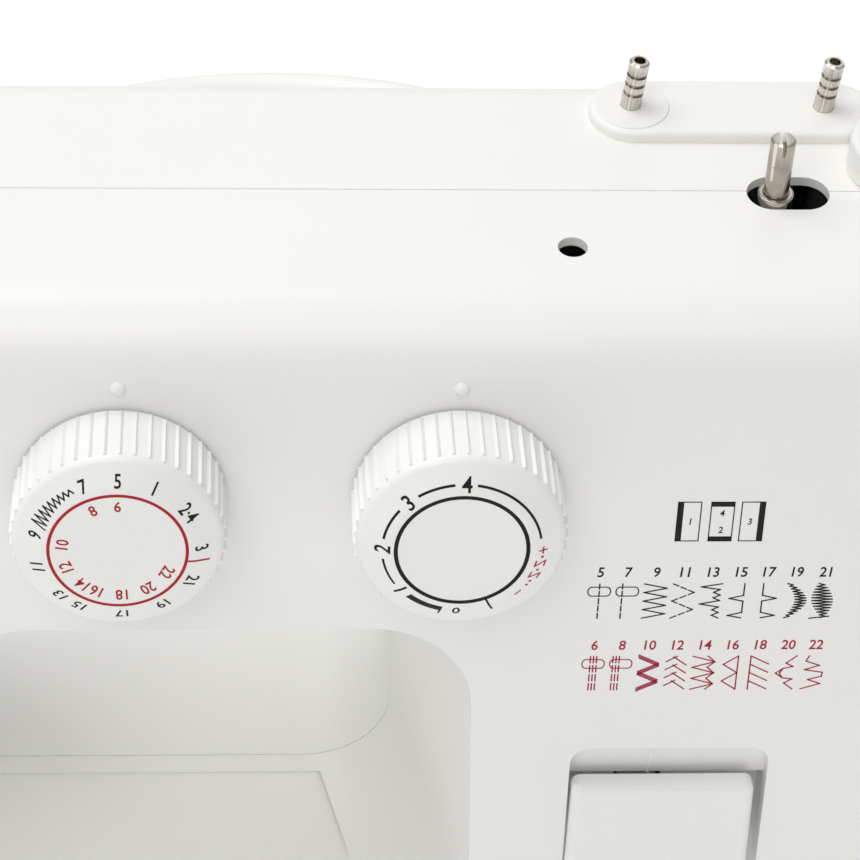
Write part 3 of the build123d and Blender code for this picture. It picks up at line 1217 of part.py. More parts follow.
with BuildPart() as pattern_shaft:
    add(dial_shaft(PATTERN_X))
    for index, (radius, shift) in enumerate(PATTERN_CAMS):
        with BuildSketch(panel(PATTERN_X, 0, CAM_FRONT - CAM_PITCH * index)):
            Circle(radius)
            with Locations((shift, shift)):
                Circle(radius)
        extrude(amount=-CAM_THICK)
    with BuildSketch(panel(PATTERN_X, 0, CAM_FRONT)):
        Circle(CAM_HUB_RADIUS)
    extrude(amount=-CAM_PITCH * len(PATTERN_CAMS) - 1)
save(pattern_shaft, "pattern_shaft")

with BuildPart() as length_shaft:
    add(dial_shaft(LENGTH_X))
    cam_radius, cam_shift = LENGTH_CAM
    with BuildSketch(panel(LENGTH_X, 0, CAM_FRONT - 0.5)):
        Circle(cam_radius)
        with Locations((cam_shift, 0)):
            Circle(cam_radius)
    extrude(amount=-LENGTH_CAM_THICK)
save(length_shaft, "length_shaft")

# ---------------------------------------------------------------- reverse lever
with BuildPart() as reverse_lever:
    pad_x = (PAD_LEFT + PAD_RIGHT) / 2
    pad_rise = (PAD_TOP + PAD_BOTTOM) / 2
    with BuildSketch(panel(pad_x, pad_rise, PAD_PROUD)):
        lean = degrees(atan2(PAD_TOP - PAD_BOTTOM, PAD_TAPER / 2))
        Trapezoid(PAD_RIGHT - PAD_LEFT + PAD_TAPER, PAD_TOP - PAD_BOTTOM, lean)
        fillet(vertices(), PAD_CORNER)
    extrude(amount=-PAD_THICK)
    fillet(faces().sort_by(Axis.Y)[0].edges(), PAD_EDGE)
    block(
        (LEVER_SLOT[0] + 1, LEVER_ARM_FRONT, LEVER_PIVOT[1] - LEVER_ARM_HALF),
        (LEVER_SLOT[1] - 1, LEVER_PIVOT[0], LEVER_PIVOT[1] + LEVER_ARM_HALF),
    )
    x_rod(LEVER_SLOT[0] + 1, *LEVER_PIVOT, LEVER_HUB_RADIUS, LEVER_SLOT[1] - LEVER_SLOT[0] - 2)
    x_rod(LEVER_SLOT[0], *LEVER_PIVOT, LEVER_PIN_RADIUS + RUN, LEVER_SLOT[1] - LEVER_SLOT[0], Mode.SUBTRACT)
save(reverse_lever, "reverse_lever")

with BuildPart() as reverse_spring:
    spring_radius, spring_bore, spring_length = LEVER_SPRING
    x_rod(LEVER_SPRING_X, *LEVER_PIVOT, spring_radius, spring_length)
    x_rod(LEVER_SPRING_X - 1, *LEVER_PIVOT, spring_bore, spring_length + 2, Mode.SUBTRACT)
save(reverse_spring, "reverse_spring")

# ---------------------------------------------------------------- top


def leaning(x):
    """Plane across a spool pin's axis, at the top of the case."""
    lean = radians(PIN_LEAN)
    return Plane(origin=(x, CAP_Y, TOP_Z), z_dir=(sin(lean), 0, cos(lean)))


with BuildPart() as spool_pin_cap:
    with BuildSketch(Plane.XY.offset(TOP_Z)):
        with Locations(((CAP_LEFT + CAP_RIGHT) / 2, CAP_Y)):
            SlotOverall(CAP_RIGHT - CAP_LEFT, 2 * CAP_RADIUS)
    extrude(amount=CAP_HEIGHT)
    fillet(edges().group_by(Axis.Z)[-1], 1.4)
    with BuildSketch(Plane.XY.offset(TOP_Z + CAP_HEIGHT - 0.5)):
        with Locations((PIN_X[0] + 0.6, CAP_Y)):
            Circle(CAP_RADIUS - 1.5)
    extrude(amount=BOSS_HEIGHT + 0.5)
    fillet(edges().group_by(Axis.Z)[-1], 0.3)
    for x in PIN_X:
        with BuildSketch(leaning(x).offset(-5)):
            Circle(PIN_RADIUS + RUN)
        extrude(amount=15, mode=Mode.SUBTRACT)
save(spool_pin_cap, "spool_pin_cap")

for name, x in zip(("spool_pin_left", "spool_pin_right"), PIN_X):
    lean = leaning(x)
    with BuildPart() as spool_pin:
        with BuildSketch(lean.offset(-PIN_HIDDEN)):
            Circle(PIN_RADIUS)
        extrude(amount=PIN_HIDDEN + CAP_HEIGHT + PIN_SHOWN)
        chamfer(edges().sort_by(Axis.Z)[-1], 0.5)
        for ring in PIN_RINGS:
            top = CAP_HEIGHT + PIN_SHOWN - ring
            with BuildSketch(lean.offset(top)):
                Circle(PIN_RADIUS + 1)
                Circle(PIN_RADIUS - PIN_RING_DEPTH, mode=Mode.SUBTRACT)
            extrude(amount=PIN_RING_WIDTH, mode=Mode.SUBTRACT)
        with BuildSketch(lean.offset(CAP_HEIGHT + PIN_SHOWN)):
            Circle(PIN_DIMPLE[0])
        extrude(amount=-PIN_DIMPLE[1], mode=Mode.SUBTRACT)
    save(spool_pin, name)

LEVER_Z = 257.0
LEVER_THICK = 3.0
TYRE_Z = 246.0
TYRE_RADIUS = 12.0
TYRE_WIDTH = 6.0
COLLAR_RADIUS = 3.9
LEVER_EYES = (6.0, 5.5)     # radii round the spindle and the pivot
LEVER_HALF = 3.4
WINDER_PIVOT_RADIUS = 2.5
TYRE_HUB = (4.4, 4.2)       # radius and height
DETENT_SHIFT = (-1.7, -1.85)
DETENT_RADIUS = 0.6
SLOT_HALF = 0.5             # screwdriver slots

with BuildPart() as winder_lever:
    with BuildSketch(Plane.XY.offset(LEVER_Z)):
        with Locations(SPINDLE_XY):
            Circle(LEVER_EYES[0])
        with Locations(WINDER_PIVOT_XY):
            Circle(LEVER_EYES[1])
        Polygon(
            (SPINDLE_XY[0] - LEVER_HALF, SPINDLE_XY[1]),
            (SPINDLE_XY[0] + LEVER_HALF, SPINDLE_XY[1]),
            (WINDER_PIVOT_XY[0] + LEVER_HALF, WINDER_PIVOT_XY[1]),
            (WINDER_PIVOT_XY[0] - LEVER_HALF, WINDER_PIVOT_XY[1]),
            align=None,
        )
    extrude(amount=LEVER_THICK)
    z_rod(*SPINDLE_XY, LEVER_Z, COLLAR_RADIUS, TOP_Z - LEVER_Z + 1.0)
    z_rod(*SPINDLE_XY, LEVER_Z - 1, SPINDLE_SEAT_RADIUS + RUN, 40, Mode.SUBTRACT)
    z_rod(*WINDER_PIVOT_XY, LEVER_Z - 1, WINDER_PIVOT_RADIUS + RUN, 10, Mode.SUBTRACT)
save(winder_lever, "winder_lever")

with BuildPart() as winder_spindle:
    z_rod(*SPINDLE_XY, TYRE_Z - 4, SPINDLE_SEAT_RADIUS, TOP_Z + 1 - TYRE_Z + 4)
    z_rod(*SPINDLE_XY, TOP_Z, SPINDLE_RADIUS, SPINDLE_TOP - TOP_Z)
    chamfer(edges().group_by(Axis.Z)[-1], 0.5)
    block(
        (SPINDLE_XY[0] - SLOT_HALF, SPINDLE_XY[1] - 4, SPINDLE_TOP - 3.4),
        (SPINDLE_XY[0] + SLOT_HALF, SPINDLE_XY[1] + 4, SPINDLE_TOP + 1),
        Mode.SUBTRACT,
    )
    # bobbin detent on the front left
    detent_x = SPINDLE_XY[0] + DETENT_SHIFT[0]
    detent_y = SPINDLE_XY[1] + DETENT_SHIFT[1]
    z_rod(detent_x, detent_y, SPINDLE_TOP - 11, DETENT_RADIUS, 4)
    z_rod(*SPINDLE_XY, TYRE_Z + TYRE_WIDTH + 0.2, *TYRE_HUB)
save(winder_spindle, "winder_spindle")

with BuildPart() as winder_tyre:
    z_rod(*SPINDLE_XY, TYRE_Z, TYRE_RADIUS, TYRE_WIDTH)
    fillet(edges().filter_by(GeomType.CIRCLE), 1.5)
    z_rod(*SPINDLE_XY, TYRE_Z - 1, SPINDLE_SEAT_RADIUS, TYRE_WIDTH + 2, Mode.SUBTRACT)
save(winder_tyre, "winder_tyre")

STOP_SCREW_RADIUS = 1.7
STOP_SCREW_HEAD = 3.2
STOP_SEAT_RADIUS = 3.0
ADJUSTER_Z = (244.0, 266.0)
ADJUSTER_RADIUS = 2.6
ADJUSTER_BASE = (5.0, 4.0)          # half width and height
ADJUSTER_SLOT_DEPTH = 1.5

with BuildPart() as winder_stop:
    z_rod(*STOP_XY, TOP_Z + FIT, STOP_RADIUS, STOP_HEIGHT)
    fillet(edges().group_by(Axis.Z)[-1], 1.6)
    z_rod(*STOP_XY, TOP_Z, STOP_SEAT_RADIUS, 6)
    z_rod(*STOP_XY, TOP_Z - 1, STOP_SCREW_RADIUS + RUN, STOP_HEIGHT + 2, Mode.SUBTRACT)
    z_rod(*STOP_XY, TOP_Z + STOP_HEIGHT - 2, STOP_SCREW_HEAD + 0.2, 5, Mode.SUBTRACT)
save(winder_stop, "winder_stop")

with BuildPart() as adjusting_screw:
    x, y = ACCESS_XY
    low, high = ADJUSTER_Z
    half, height = ADJUSTER_BASE
    z_rod(x, y, low, ADJUSTER_RADIUS, high - low)
    block((x - SLOT_HALF, y - 4, high - ADJUSTER_SLOT_DEPTH), (x + SLOT_HALF, y + 4, high + 1), Mode.SUBTRACT)
    block((x - half, y - half, low - height), (x + half, y + half, low))
save(adjusting_screw, "adjusting_screw")

droop = radians(HANDLE_DROOP)
with BuildPart() as carry_handle:
    flat = Plane(
        origin=(HANDLE_X, *HANDLE_PIVOT), x_dir=(1, 0, 0), z_dir=(0, sin(droop), cos(droop))
    )
    with BuildLine(flat):
        bow = ThreePointArc((-HANDLE_SPAN, 0), (0, HANDLE_RISE), (HANDLE_SPAN, 0))
    with BuildSketch(Plane(origin=bow @ 0, z_dir=bow % 0)):
        Circle(HANDLE_RADIUS - 0.3)
    sweep()
    for side in (-1, 1):
        near, far = sorted((HANDLE_X + side * (HANDLE_SPAN - 6), HANDLE_X + side * (LUG_IN - FIT)))
        x_rod(near, *HANDLE_PIVOT, HANDLE_RADIUS, far - near)
    x_rod(HANDLE_X - LUG_OUT, *HANDLE_PIVOT, HANDLE_PIN_RADIUS + RUN, 2 * LUG_OUT, Mode.SUBTRACT)
save(carry_handle, "carry_handle")

# ---------------------------------------------------------------- electrics
SWITCH_BACK = 6.0
SWITCH_PROUD = 1.6
SWITCH_DIP = 0.4
INLET_DEPTH = 20.0
INLET_FLOOR = 4.0
INLET_WALL = 2.5
INLET_PINS = (-5.0, 0.0, 5.0)
INLET_PIN_RADIUS = 1.2
INLET_PIN_LENGTH = 12.0
# Z of the lamp's bulb, cap, holder and bracket
LAMP_Z = 146.0
LAMP_CAP_Z = 168.0
LAMP_HOLDER_Z = 178.0
LAMP_HOLDER_LENGTH = 22.0
LAMP_ARM_Z = (186.0, 192.0)
LAMP_RADII = (8.0, 7.0, 9.0)
LAMP_ARM_HALF = 4.0

with BuildPart() as power_switch:
    y, z = SWITCH
    with BuildSketch(Plane.XZ.offset(-(y + SWITCH_SIZE[0] / 2 - FIT))):
        half = SWITCH_SIZE[1] / 2 - 1
        Polygon(
            (RIGHT_X - SWITCH_BACK, z - half + 1),
            (RIGHT_X + SWITCH_PROUD, z - half),
            (RIGHT_X - SWITCH_DIP, z),
            (RIGHT_X + SWITCH_PROUD, z + half),
            (RIGHT_X - SWITCH_BACK, z + half - 1),
            align=None,
        )
    extrude(amount=SWITCH_SIZE[0] - 2 * FIT)
save(power_switch, "power_switch")

with BuildPart() as power_inlet:
    y, z = INLET
    width, height = INLET_SIZE
    block((RIGHT_X - INLET_DEPTH, y - width / 2, z - height / 2), (RIGHT_X, y + width / 2, z + height / 2))
    floor_x = RIGHT_X - INLET_DEPTH + INLET_FLOOR
    block(
        (floor_x, y - width / 2 + INLET_WALL, z - height / 2 + INLET_WALL),
        (RIGHT_X + 1, y + width / 2 - INLET_WALL, z + height / 2 - INLET_WALL),
        Mode.SUBTRACT,
    )
    for pin_y in INLET_PINS:
        x_rod(floor_x - 1, y + pin_y, z, INLET_PIN_RADIUS, INLET_PIN_LENGTH)
save(power_inlet, "power_inlet")

with BuildPart() as lamp:
    bulb, cap, holder = LAMP_RADII
    z_rod(*LAMP_XY, LAMP_Z, bulb, LAMP_CAP_Z - LAMP_Z)
    with Locations((*LAMP_XY, LAMP_Z)):
        Sphere(bulb)
    z_rod(*LAMP_XY, LAMP_CAP_Z, cap, LAMP_HOLDER_Z - LAMP_CAP_Z)
    z_rod(*LAMP_XY, LAMP_HOLDER_Z, holder, LAMP_HOLDER_LENGTH)
    block(
        (LAMP_XY[0], LAMP_XY[1] - LAMP_ARM_HALF, LAMP_ARM_Z[0]),
        (FRAME_LEFT - 0.2, LAMP_XY[1] + LAMP_ARM_HALF, LAMP_ARM_Z[1]),
    )
save(lamp, "lamp")

# ---------------------------------------------------------------- fasteners and pins
CASE_SCREW_STEM = 1.8
CASE_SCREW_SOCKET = 1.0
PLATE_SCREW_RADII = (1.6, 2.2)      # stem and head
WINDER_SCREW_HEAD = 4.5

with BuildPart() as case_screws:
    for x, z in SCREW_SPOTS:
        head_y = rear_y(z) - 2 * WALL - 1
        y_rod(x, head_y, z, SCREW_RADIUS, 2 * WALL)
        y_rod(x, rear_y(z) - 7 * WALL, z, CASE_SCREW_STEM, 6 * WALL)
        y_rod(x, head_y + 3, z, CASE_SCREW_SOCKET, 3 * WALL, Mode.SUBTRACT)
    # face cover
    y, z = FACE_SCREW
    x_rod(LEFT_X + 1, y, z, FACE_SCREW_RADIUS, 20)
    x_rod(LEFT_X, y, z, FACE_SCREW_HEAD, 1.1)
    block((LEFT_X - 1, y - 6, z - SLOT_HALF), (LEFT_X + 0.6, y + 6, z + SLOT_HALF), Mode.SUBTRACT)
    # needle plate
    stem, head = PLATE_SCREW_RADII
    for x in PLATE_SCREW_X:
        z_rod(x, PLATE_SCREW_Y, step_z - 6, stem, 5)
        z_rod(x, PLATE_SCREW_Y, step_z - PLATE_THICK, head, PLATE_THICK)
        low = (x - 3, PLATE_SCREW_Y - 0.4, step_z - 0.6)
        block(low, (x + 3, PLATE_SCREW_Y + 0.4, step_z + 1), Mode.SUBTRACT)
    # winder stop
    x, y = STOP_XY
    stop_top = TOP_Z + STOP_HEIGHT
    z_rod(x, y, TOP_Z, STOP_SCREW_RADIUS, STOP_HEIGHT - 2)
    z_rod(x, y, stop_top - 2, STOP_SCREW_HEAD, 1.8)
    block((x - 4, y - 0.4, stop_top - 1), (x + 4, y + 0.4, stop_top + 1), Mode.SUBTRACT)
    # winder lever's shoulder screw
    z_rod(*WINDER_PIVOT_XY, LEVER_Z - 6, WINDER_PIVOT_RADIUS, TOP_Z - WALL - LEVER_Z + 5.2)
    z_rod(*WINDER_PIVOT_XY, LEVER_Z - 6, WINDER_SCREW_HEAD, 5.6)
save(case_screws, "case_screws")

with BuildPart() as pivot_pins:
    for side in (-1, 1):
        near, far = sorted((HANDLE_X + side * (HANDLE_SPAN - 5), HANDLE_X + side * LUG_OUT))
        x_rod(near, *HANDLE_PIVOT, HANDLE_PIN_RADIUS, far - near)
    # reverse lever
    x_rod(EAR_X[0] - 1.5, *LEVER_PIVOT, LEVER_PIN_RADIUS, EAR_X[1] - EAR_X[0] + EAR_THICK + 2)
    x_rod(EAR_X[0] - 2.5, *LEVER_PIVOT, 4.0, 2)
save(pivot_pins, "pivot_pins")
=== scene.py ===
"""Looks of a domestic sewing machine: its plastics, metals, printed scales and studio."""

import json
import math

import bmesh
import bpy
from mathutils import Matrix, Vector
from mathutils.bvhtree import BVHTree


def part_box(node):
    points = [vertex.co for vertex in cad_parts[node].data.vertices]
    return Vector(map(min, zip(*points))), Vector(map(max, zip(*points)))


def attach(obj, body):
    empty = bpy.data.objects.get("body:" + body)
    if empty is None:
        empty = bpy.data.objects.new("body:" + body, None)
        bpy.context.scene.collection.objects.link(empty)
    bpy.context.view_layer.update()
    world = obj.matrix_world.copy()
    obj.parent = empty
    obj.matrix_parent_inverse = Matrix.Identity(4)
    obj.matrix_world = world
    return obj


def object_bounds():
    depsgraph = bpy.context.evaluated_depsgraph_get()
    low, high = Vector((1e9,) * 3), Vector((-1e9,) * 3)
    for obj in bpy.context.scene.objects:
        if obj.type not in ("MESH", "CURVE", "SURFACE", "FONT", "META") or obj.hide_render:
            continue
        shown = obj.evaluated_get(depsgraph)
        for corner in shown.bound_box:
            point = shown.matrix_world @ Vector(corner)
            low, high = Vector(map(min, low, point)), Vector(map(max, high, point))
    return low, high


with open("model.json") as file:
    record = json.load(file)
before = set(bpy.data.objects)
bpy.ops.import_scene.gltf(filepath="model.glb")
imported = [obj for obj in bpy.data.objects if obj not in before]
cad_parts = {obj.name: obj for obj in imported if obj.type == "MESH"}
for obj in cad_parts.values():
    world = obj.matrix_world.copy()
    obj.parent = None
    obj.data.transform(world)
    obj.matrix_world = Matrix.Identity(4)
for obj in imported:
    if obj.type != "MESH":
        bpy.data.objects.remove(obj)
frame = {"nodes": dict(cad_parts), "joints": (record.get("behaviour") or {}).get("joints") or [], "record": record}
cad_low, cad_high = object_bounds()

MM = 0.001
JOINTS = {joint["name"]: joint for joint in frame["joints"]}
BODIES = frame["record"]["behaviour"]["bodies"]
BODY_OF = {node: body for body, nodes in BODIES.items() for node in nodes}
SMOOTH_UNDER = math.radians(32)         # edges flatter than this are shaded smooth

# ---------------------------------------------------------------- studio
CAMERA_SPOT = Vector((-0.0210, -0.5965, 0.7689))
CAMERA_DIP = math.radians(43.9)         # the view looks down by this much
CAMERA_TURN = math.atan(2 / 33)         # and this much to the right
CAMERA_LENS = 138.1
FLOOR_HALF = 6.0
FLOOR_CORNERS = ((-1, -1), (1, -1), (1, 1), (-1, 1))
FLOOR_GLOW = 0.12                       # keeps the paper white in the machine's shadow
SKY = 0.50
LIGHTS = (                              # name, place, side, watts and colour
    ("key", (-0.9, 0.5, 2.2), 1.6, 24.0, (1.0, 1.0, 0.985)),
    ("fill", (-0.5, -1.4, 2.0), 1.4, 13.0, (1.0, 0.985, 0.965)),
    ("rim", (0.2, 1.8, 1.3), 1.2, 2.0, (1, 1, 1)),
)


def add_camera():
    """Camera above and in front of the machine, close enough to see the dials and the top."""
    ahead = (math.tan(CAMERA_TURN), math.cos(CAMERA_DIP), -math.sin(CAMERA_DIP))
    forward = Vector(ahead).normalized()
    up = Vector((1, 0, 0)).cross(forward).normalized()
    right = forward.cross(up)
    data = bpy.data.cameras.new("camera")
    data.lens = CAMERA_LENS
    data.sensor_width = 36.0
    data.clip_start = 0.01
    camera = bpy.data.objects.new("camera", data)
    aim = Matrix((right, up, -forward)).transposed().to_4x4()
    camera.matrix_world = Matrix.Translation(CAMERA_SPOT) @ aim
    bpy.context.scene.collection.objects.link(camera)
    bpy.context.scene.camera = camera


def add_light(name, spot, target, size, power, colour):
    """Soft square light at spot, aimed at target."""
    data = bpy.data.lights.new(name, "AREA")
    data.size = size
    data.energy = power
    data.color = colour
    light = bpy.data.objects.new(name, data)
    light.location = spot
    light.rotation_euler = (Vector(target) - Vector(spot)).to_track_quat("-Z", "Y").to_euler()
    bpy.context.scene.collection.objects.link(light)


def add_studio():
    """Pale floor, even sky and three soft lights."""
    scene = bpy.context.scene
    scene.view_settings.view_transform = "Standard"
    world = bpy.data.worlds.new("sky")
    world.use_nodes = True
    world.node_tree.nodes["Background"].inputs["Color"].default_value = (1.0, 1.0, 1.0, 1.0)
    world.node_tree.nodes["Background"].inputs["Strength"].default_value = SKY
    scene.world = world
    middle = (cad_low + cad_high) / 2
    for name, spot, size, power, colour in LIGHTS:
        add_light(name, spot, middle, size, power, colour)
    mesh = bpy.data.meshes.new("floor")
    corners = [(x * FLOOR_HALF, y * FLOOR_HALF, cad_low.z) for x, y in FLOOR_CORNERS]
    mesh.from_pydata(corners, [], [(0, 1, 2, 3)])
    floor = bpy.data.objects.new("floor", mesh)
    scene.collection.objects.link(floor)
    paper = shader("paper", (0.96, 0.96, 0.955), 0.7)
    surface_of(paper).inputs["Emission Color"].default_value = (1.0, 1.0, 1.0, 1.0)
    surface_of(paper).inputs["Emission Strength"].default_value = FLOOR_GLOW
    bump(paper, noise(paper, 160.0), 0.05, 0.2 * MM)
    mesh.materials.append(paper)


# ---------------------------------------------------------------- materials
def shader(name, colour, roughness, metallic=0.0):
    """A principled material with even colour, roughness and metal share."""
    made = bpy.data.materials.new(name)
    made.use_nodes = True
    surface = surface_of(made)
    surface.inputs["Base Color"].default_value = (*colour, 1.0)
    surface.inputs["Roughness"].default_value = roughness
    surface.inputs["Metallic"].default_value = metallic
    return made


def surface_of(material):
    """The material's principled shader."""
    return material.node_tree.nodes["Principled BSDF"]


def noise(material, scale, detail=4.0, stretch=(1.0, 1.0, 1.0)):
    """Noise in the object's own space, with scale in features per metre; stretch draws it out."""
    nodes = material.node_tree.nodes
    links = material.node_tree.links
    place = nodes.new("ShaderNodeTexCoord")
    mapping = nodes.new("ShaderNodeMapping")
    mapping.inputs["Scale"].default_value = stretch
    texture = nodes.new("ShaderNodeTexNoise")
    texture.inputs["Scale"].default_value = scale
    texture.inputs["Detail"].default_value = detail
    links.new(place.outputs["Object"], mapping.inputs["Vector"])
    links.new(mapping.outputs["Vector"], texture.inputs["Vector"])
    return texture.outputs["Fac"]


def grains(material, scale):
    """Cell pattern for moulded grain, with scale in cells per metre."""
    nodes = material.node_tree.nodes
    place = nodes.new("ShaderNodeTexCoord")
    texture = nodes.new("ShaderNodeTexVoronoi")
    texture.inputs["Scale"].default_value = scale
    material.node_tree.links.new(place.outputs["Object"], texture.inputs["Vector"])
    return texture.outputs["Distance"]


def vary(material, socket, source, low, high):
    """Lets a pattern move one of the shader's values between low and high."""
    span = material.node_tree.nodes.new("ShaderNodeMapRange")
    span.inputs["From Min"].default_value = 0.3
    span.inputs["From Max"].default_value = 0.7
    span.inputs["To Min"].default_value = low
    span.inputs["To Max"].default_value = high
    material.node_tree.links.new(source, span.inputs["Value"])
    material.node_tree.links.new(span.outputs["Result"], surface_of(material).inputs[socket])


def tint(material, source, dark, light, low=0.35, high=0.65):
    """Colours the surface from dark to light by a pattern."""
    ramp = material.node_tree.nodes.new("ShaderNodeValToRGB")
    ramp.color_ramp.elements[0].position = low
    ramp.color_ramp.elements[0].color = (*dark, 1.0)
    ramp.color_ramp.elements[1].position = high
    ramp.color_ramp.elements[1].color = (*light, 1.0)
    material.node_tree.links.new(source, ramp.inputs["Fac"])
    material.node_tree.links.new(ramp.outputs["Color"], surface_of(material).inputs["Base Color"])
    return ramp.outputs["Color"]


def bump(material, source, strength, distance):
    """Raises the surface by a pattern, over any bump it has."""
    tree = material.node_tree
    lift = tree.nodes.new("ShaderNodeBump")
    lift.inputs["Strength"].default_value = strength
    lift.inputs["Distance"].default_value = distance
    tree.links.new(source, lift.inputs["Height"])
    normal = surface_of(material).inputs["Normal"]
    if normal.is_linked:
        tree.links.new(normal.links[0].from_socket, lift.inputs["Normal"])
    tree.links.new(lift.outputs["Normal"], normal)


def worn_edges(material, base, worn, low=0.53, high=0.6):
    """Shows a brighter colour where an outside edge is rubbed."""
    tree = material.node_tree
    shape = tree.nodes.new("ShaderNodeNewGeometry")
    span = tree.nodes.new("ShaderNodeMapRange")
    span.inputs["From Min"].default_value = low
    span.inputs["From Max"].default_value = high
    mix = tree.nodes.new("ShaderNodeMix")
    mix.data_type = "RGBA"
    mix.inputs["B"].default_value = (*worn, 1.0)
    tree.links.new(shape.outputs["Pointiness"], span.inputs["Value"])
    tree.links.new(span.outputs["Result"], mix.inputs["Factor"])
    tree.links.new(base, mix.inputs["A"])
    tree.links.new(mix.outputs["Result"], surface_of(material).inputs["Base Color"])


def white_plastic(name, colour, rough, sheen):
    """Moulded white plastic: faint flow marks, fine grain and a soft gloss."""
    made = shader(name, colour, rough)
    dark = tuple(0.985 * part for part in colour)
    tint(made, noise(made, 14.0, 3.0), dark, colour)
    vary(made, "Roughness", noise(made, 60.0), rough - 0.05, rough + 0.06)
    bump(made, noise(made, 2600.0, 2.0), 0.10, 0.02 * MM)
    bump(made, noise(made, 35.0, 2.0), 0.05, 0.15 * MM)
    surface_of(made).inputs["Coat Weight"].default_value = sheen
    surface_of(made).inputs["Coat Roughness"].default_value = 0.25
    return made


def dark_plastic(name, colour, rough, grain_scale=1800.0):
    """Dark moulded plastic or rubber with a fine grain."""
    made = shader(name, colour, rough)
    light = tuple(1.6 * part for part in colour)
    base = tint(made, noise(made, 90.0), colour, light)
    vary(made, "Roughness", noise(made, 220.0), rough - 0.08, rough + 0.1)
    bump(made, grains(made, grain_scale), 0.25, 0.03 * MM)
    worn_edges(made, base, tuple(2.5 * part for part in colour))
    return made


def metal(name, dark, light, rough, stretch=(1.0, 1.0, 1.0), edge=None):
    """Bare or plated metal with fine drawn-out scratches and rubbed edges."""
    made = shader(name, light, rough, 1.0)
    base = tint(made, noise(made, 120.0), dark, light)
    vary(made, "Roughness", noise(made, 900.0, 5.0, stretch), rough - 0.07, rough + 0.12)
    bump(made, noise(made, 2400.0, 3.0, stretch), 0.12, 0.02 * MM)
    if edge:
        worn_edges(made, base, edge)
    return made


def cast_metal(name, colour):
    """Sand-like cast skin."""
    made = shader(name, colour, 0.5, 1.0)
    tint(made, noise(made, 200.0), tuple(0.7 * part for part in colour), colour)
    vary(made, "Roughness", noise(made, 500.0), 0.4, 0.62)
    bump(made, grains(made, 900.0), 0.4, 0.08 * MM)
    return made


def frosted_glass(name):
    """Frosted lamp glass, thin and slightly warm."""
    made = shader(name, (0.95, 0.94, 0.9), 0.35)
    vary(made, "Roughness", noise(made, 700.0), 0.25, 0.45)
    bump(made, noise(made, 1500.0), 0.15, 0.02 * MM)
    surface_of(made).inputs["Transmission Weight"].default_value = 0.6
    return made


def ink(name, colour):
    """Pad-printed ink: dense, slightly glossy, with tiny breaks in its cover."""
    made = shader(name, colour, 0.5)
    surface_of(made).inputs["Specular IOR Level"].default_value = 0.15
    light = tuple(part + 0.015 for part in colour)
    tint(made, noise(made, 3000.0), colour, light)
    vary(made, "Roughness", noise(made, 1500.0), 0.45, 0.65)
    bump(made, noise(made, 5000.0), 0.1, 0.01 * MM)
    return made


def make_materials():
    """One material for each of the record's slots, and a crimson ink for the chart."""
    nickel_edge = (0.86, 0.83, 0.78)
    steel_edge = (0.85, 0.85, 0.85)
    bronze_edge = (0.75, 0.55, 0.3)
    drawn_along_z = (1.0, 1.0, 0.2)
    drawn_along_x = (0.2, 1.0, 1.0)
    return {
        "white_case": white_plastic("white_case", (0.885, 0.88, 0.855), 0.42, 0.15),
        "white_dial": white_plastic("white_dial", (0.875, 0.875, 0.86), 0.36, 0.25),
        "white_inner": white_plastic("white_inner", (0.80, 0.80, 0.78), 0.5, 0.0),
        "nickel": metal(
            "nickel", (0.30, 0.275, 0.24), (0.50, 0.46, 0.41), 0.2, drawn_along_z, nickel_edge
        ),
        "steel": metal(
            "steel", (0.42, 0.42, 0.42), (0.60, 0.60, 0.60), 0.3, drawn_along_x, steel_edge
        ),
        "cast_alloy": cast_metal("cast_alloy", (0.56, 0.57, 0.58)),
        "bronze": metal(
            "bronze", (0.42, 0.28, 0.13), (0.58, 0.40, 0.20), 0.38, edge=bronze_edge
        ),
        "black_plastic": dark_plastic("black_plastic", (0.012, 0.012, 0.012), 0.42),
        "rubber": dark_plastic("rubber", (0.018, 0.018, 0.018), 0.7, 1200.0),
        "zinc_sheet": metal(
            "zinc_sheet", (0.30, 0.31, 0.32), (0.44, 0.45, 0.46), 0.45, edge=steel_edge
        ),
        "lamp_glass": frosted_glass("lamp_glass"),
        "print_black": ink("print_black", (0.006, 0.006, 0.006)),
        "print_red": ink("print_red", (0.42, 0.012, 0.02)),
        "print_crimson": ink("print_crimson", (0.38, 0.015, 0.06)),
    }


def finish_frame(materials):
    """Gives every CAD node its slot's material and rounded shading."""
    slots = {part["node"]: part["material_slot"] for part in frame["record"]["subparts"]}
    for name, node in frame["nodes"].items():
        node.data.materials.clear()
        node.data.materials.append(materials[slots[name]])
        node.data.shade_smooth()
        node.data.set_sharp_from_angle(angle=SMOOTH_UNDER)


# ---------------------------------------------------------------- print
INK = 0.03 * MM             # thickness of the print
INK_GAP = 0.01 * MM         # lifts the print clear of the surface under it
LAY_FROM = 40 * MM          # the print is dropped on its surface from this height
LINE = 0.30 * MM
MARK_LINE = 0.5 * MM        # radial marks on the dials, and the switch's on bar
FIGURE_CUTS = 6             # level bands of a figure, which bend round a curved face
FIGURE_DEPTH = 0.5          # half the depth of a raw figure, before it is scaled to the ink
BOLD = 0.014                # how far figures are thickened, as a share of their size
STEP = 0.8 * MM             # strokes are cut this short, so that they follow the surface


def polar(radius, degrees):
    """Point on a dial's face, in degrees clockwise from the top."""
    turn = math.radians(degrees)
    return Vector((radius * math.sin(turn), radius * math.cos(turn)))


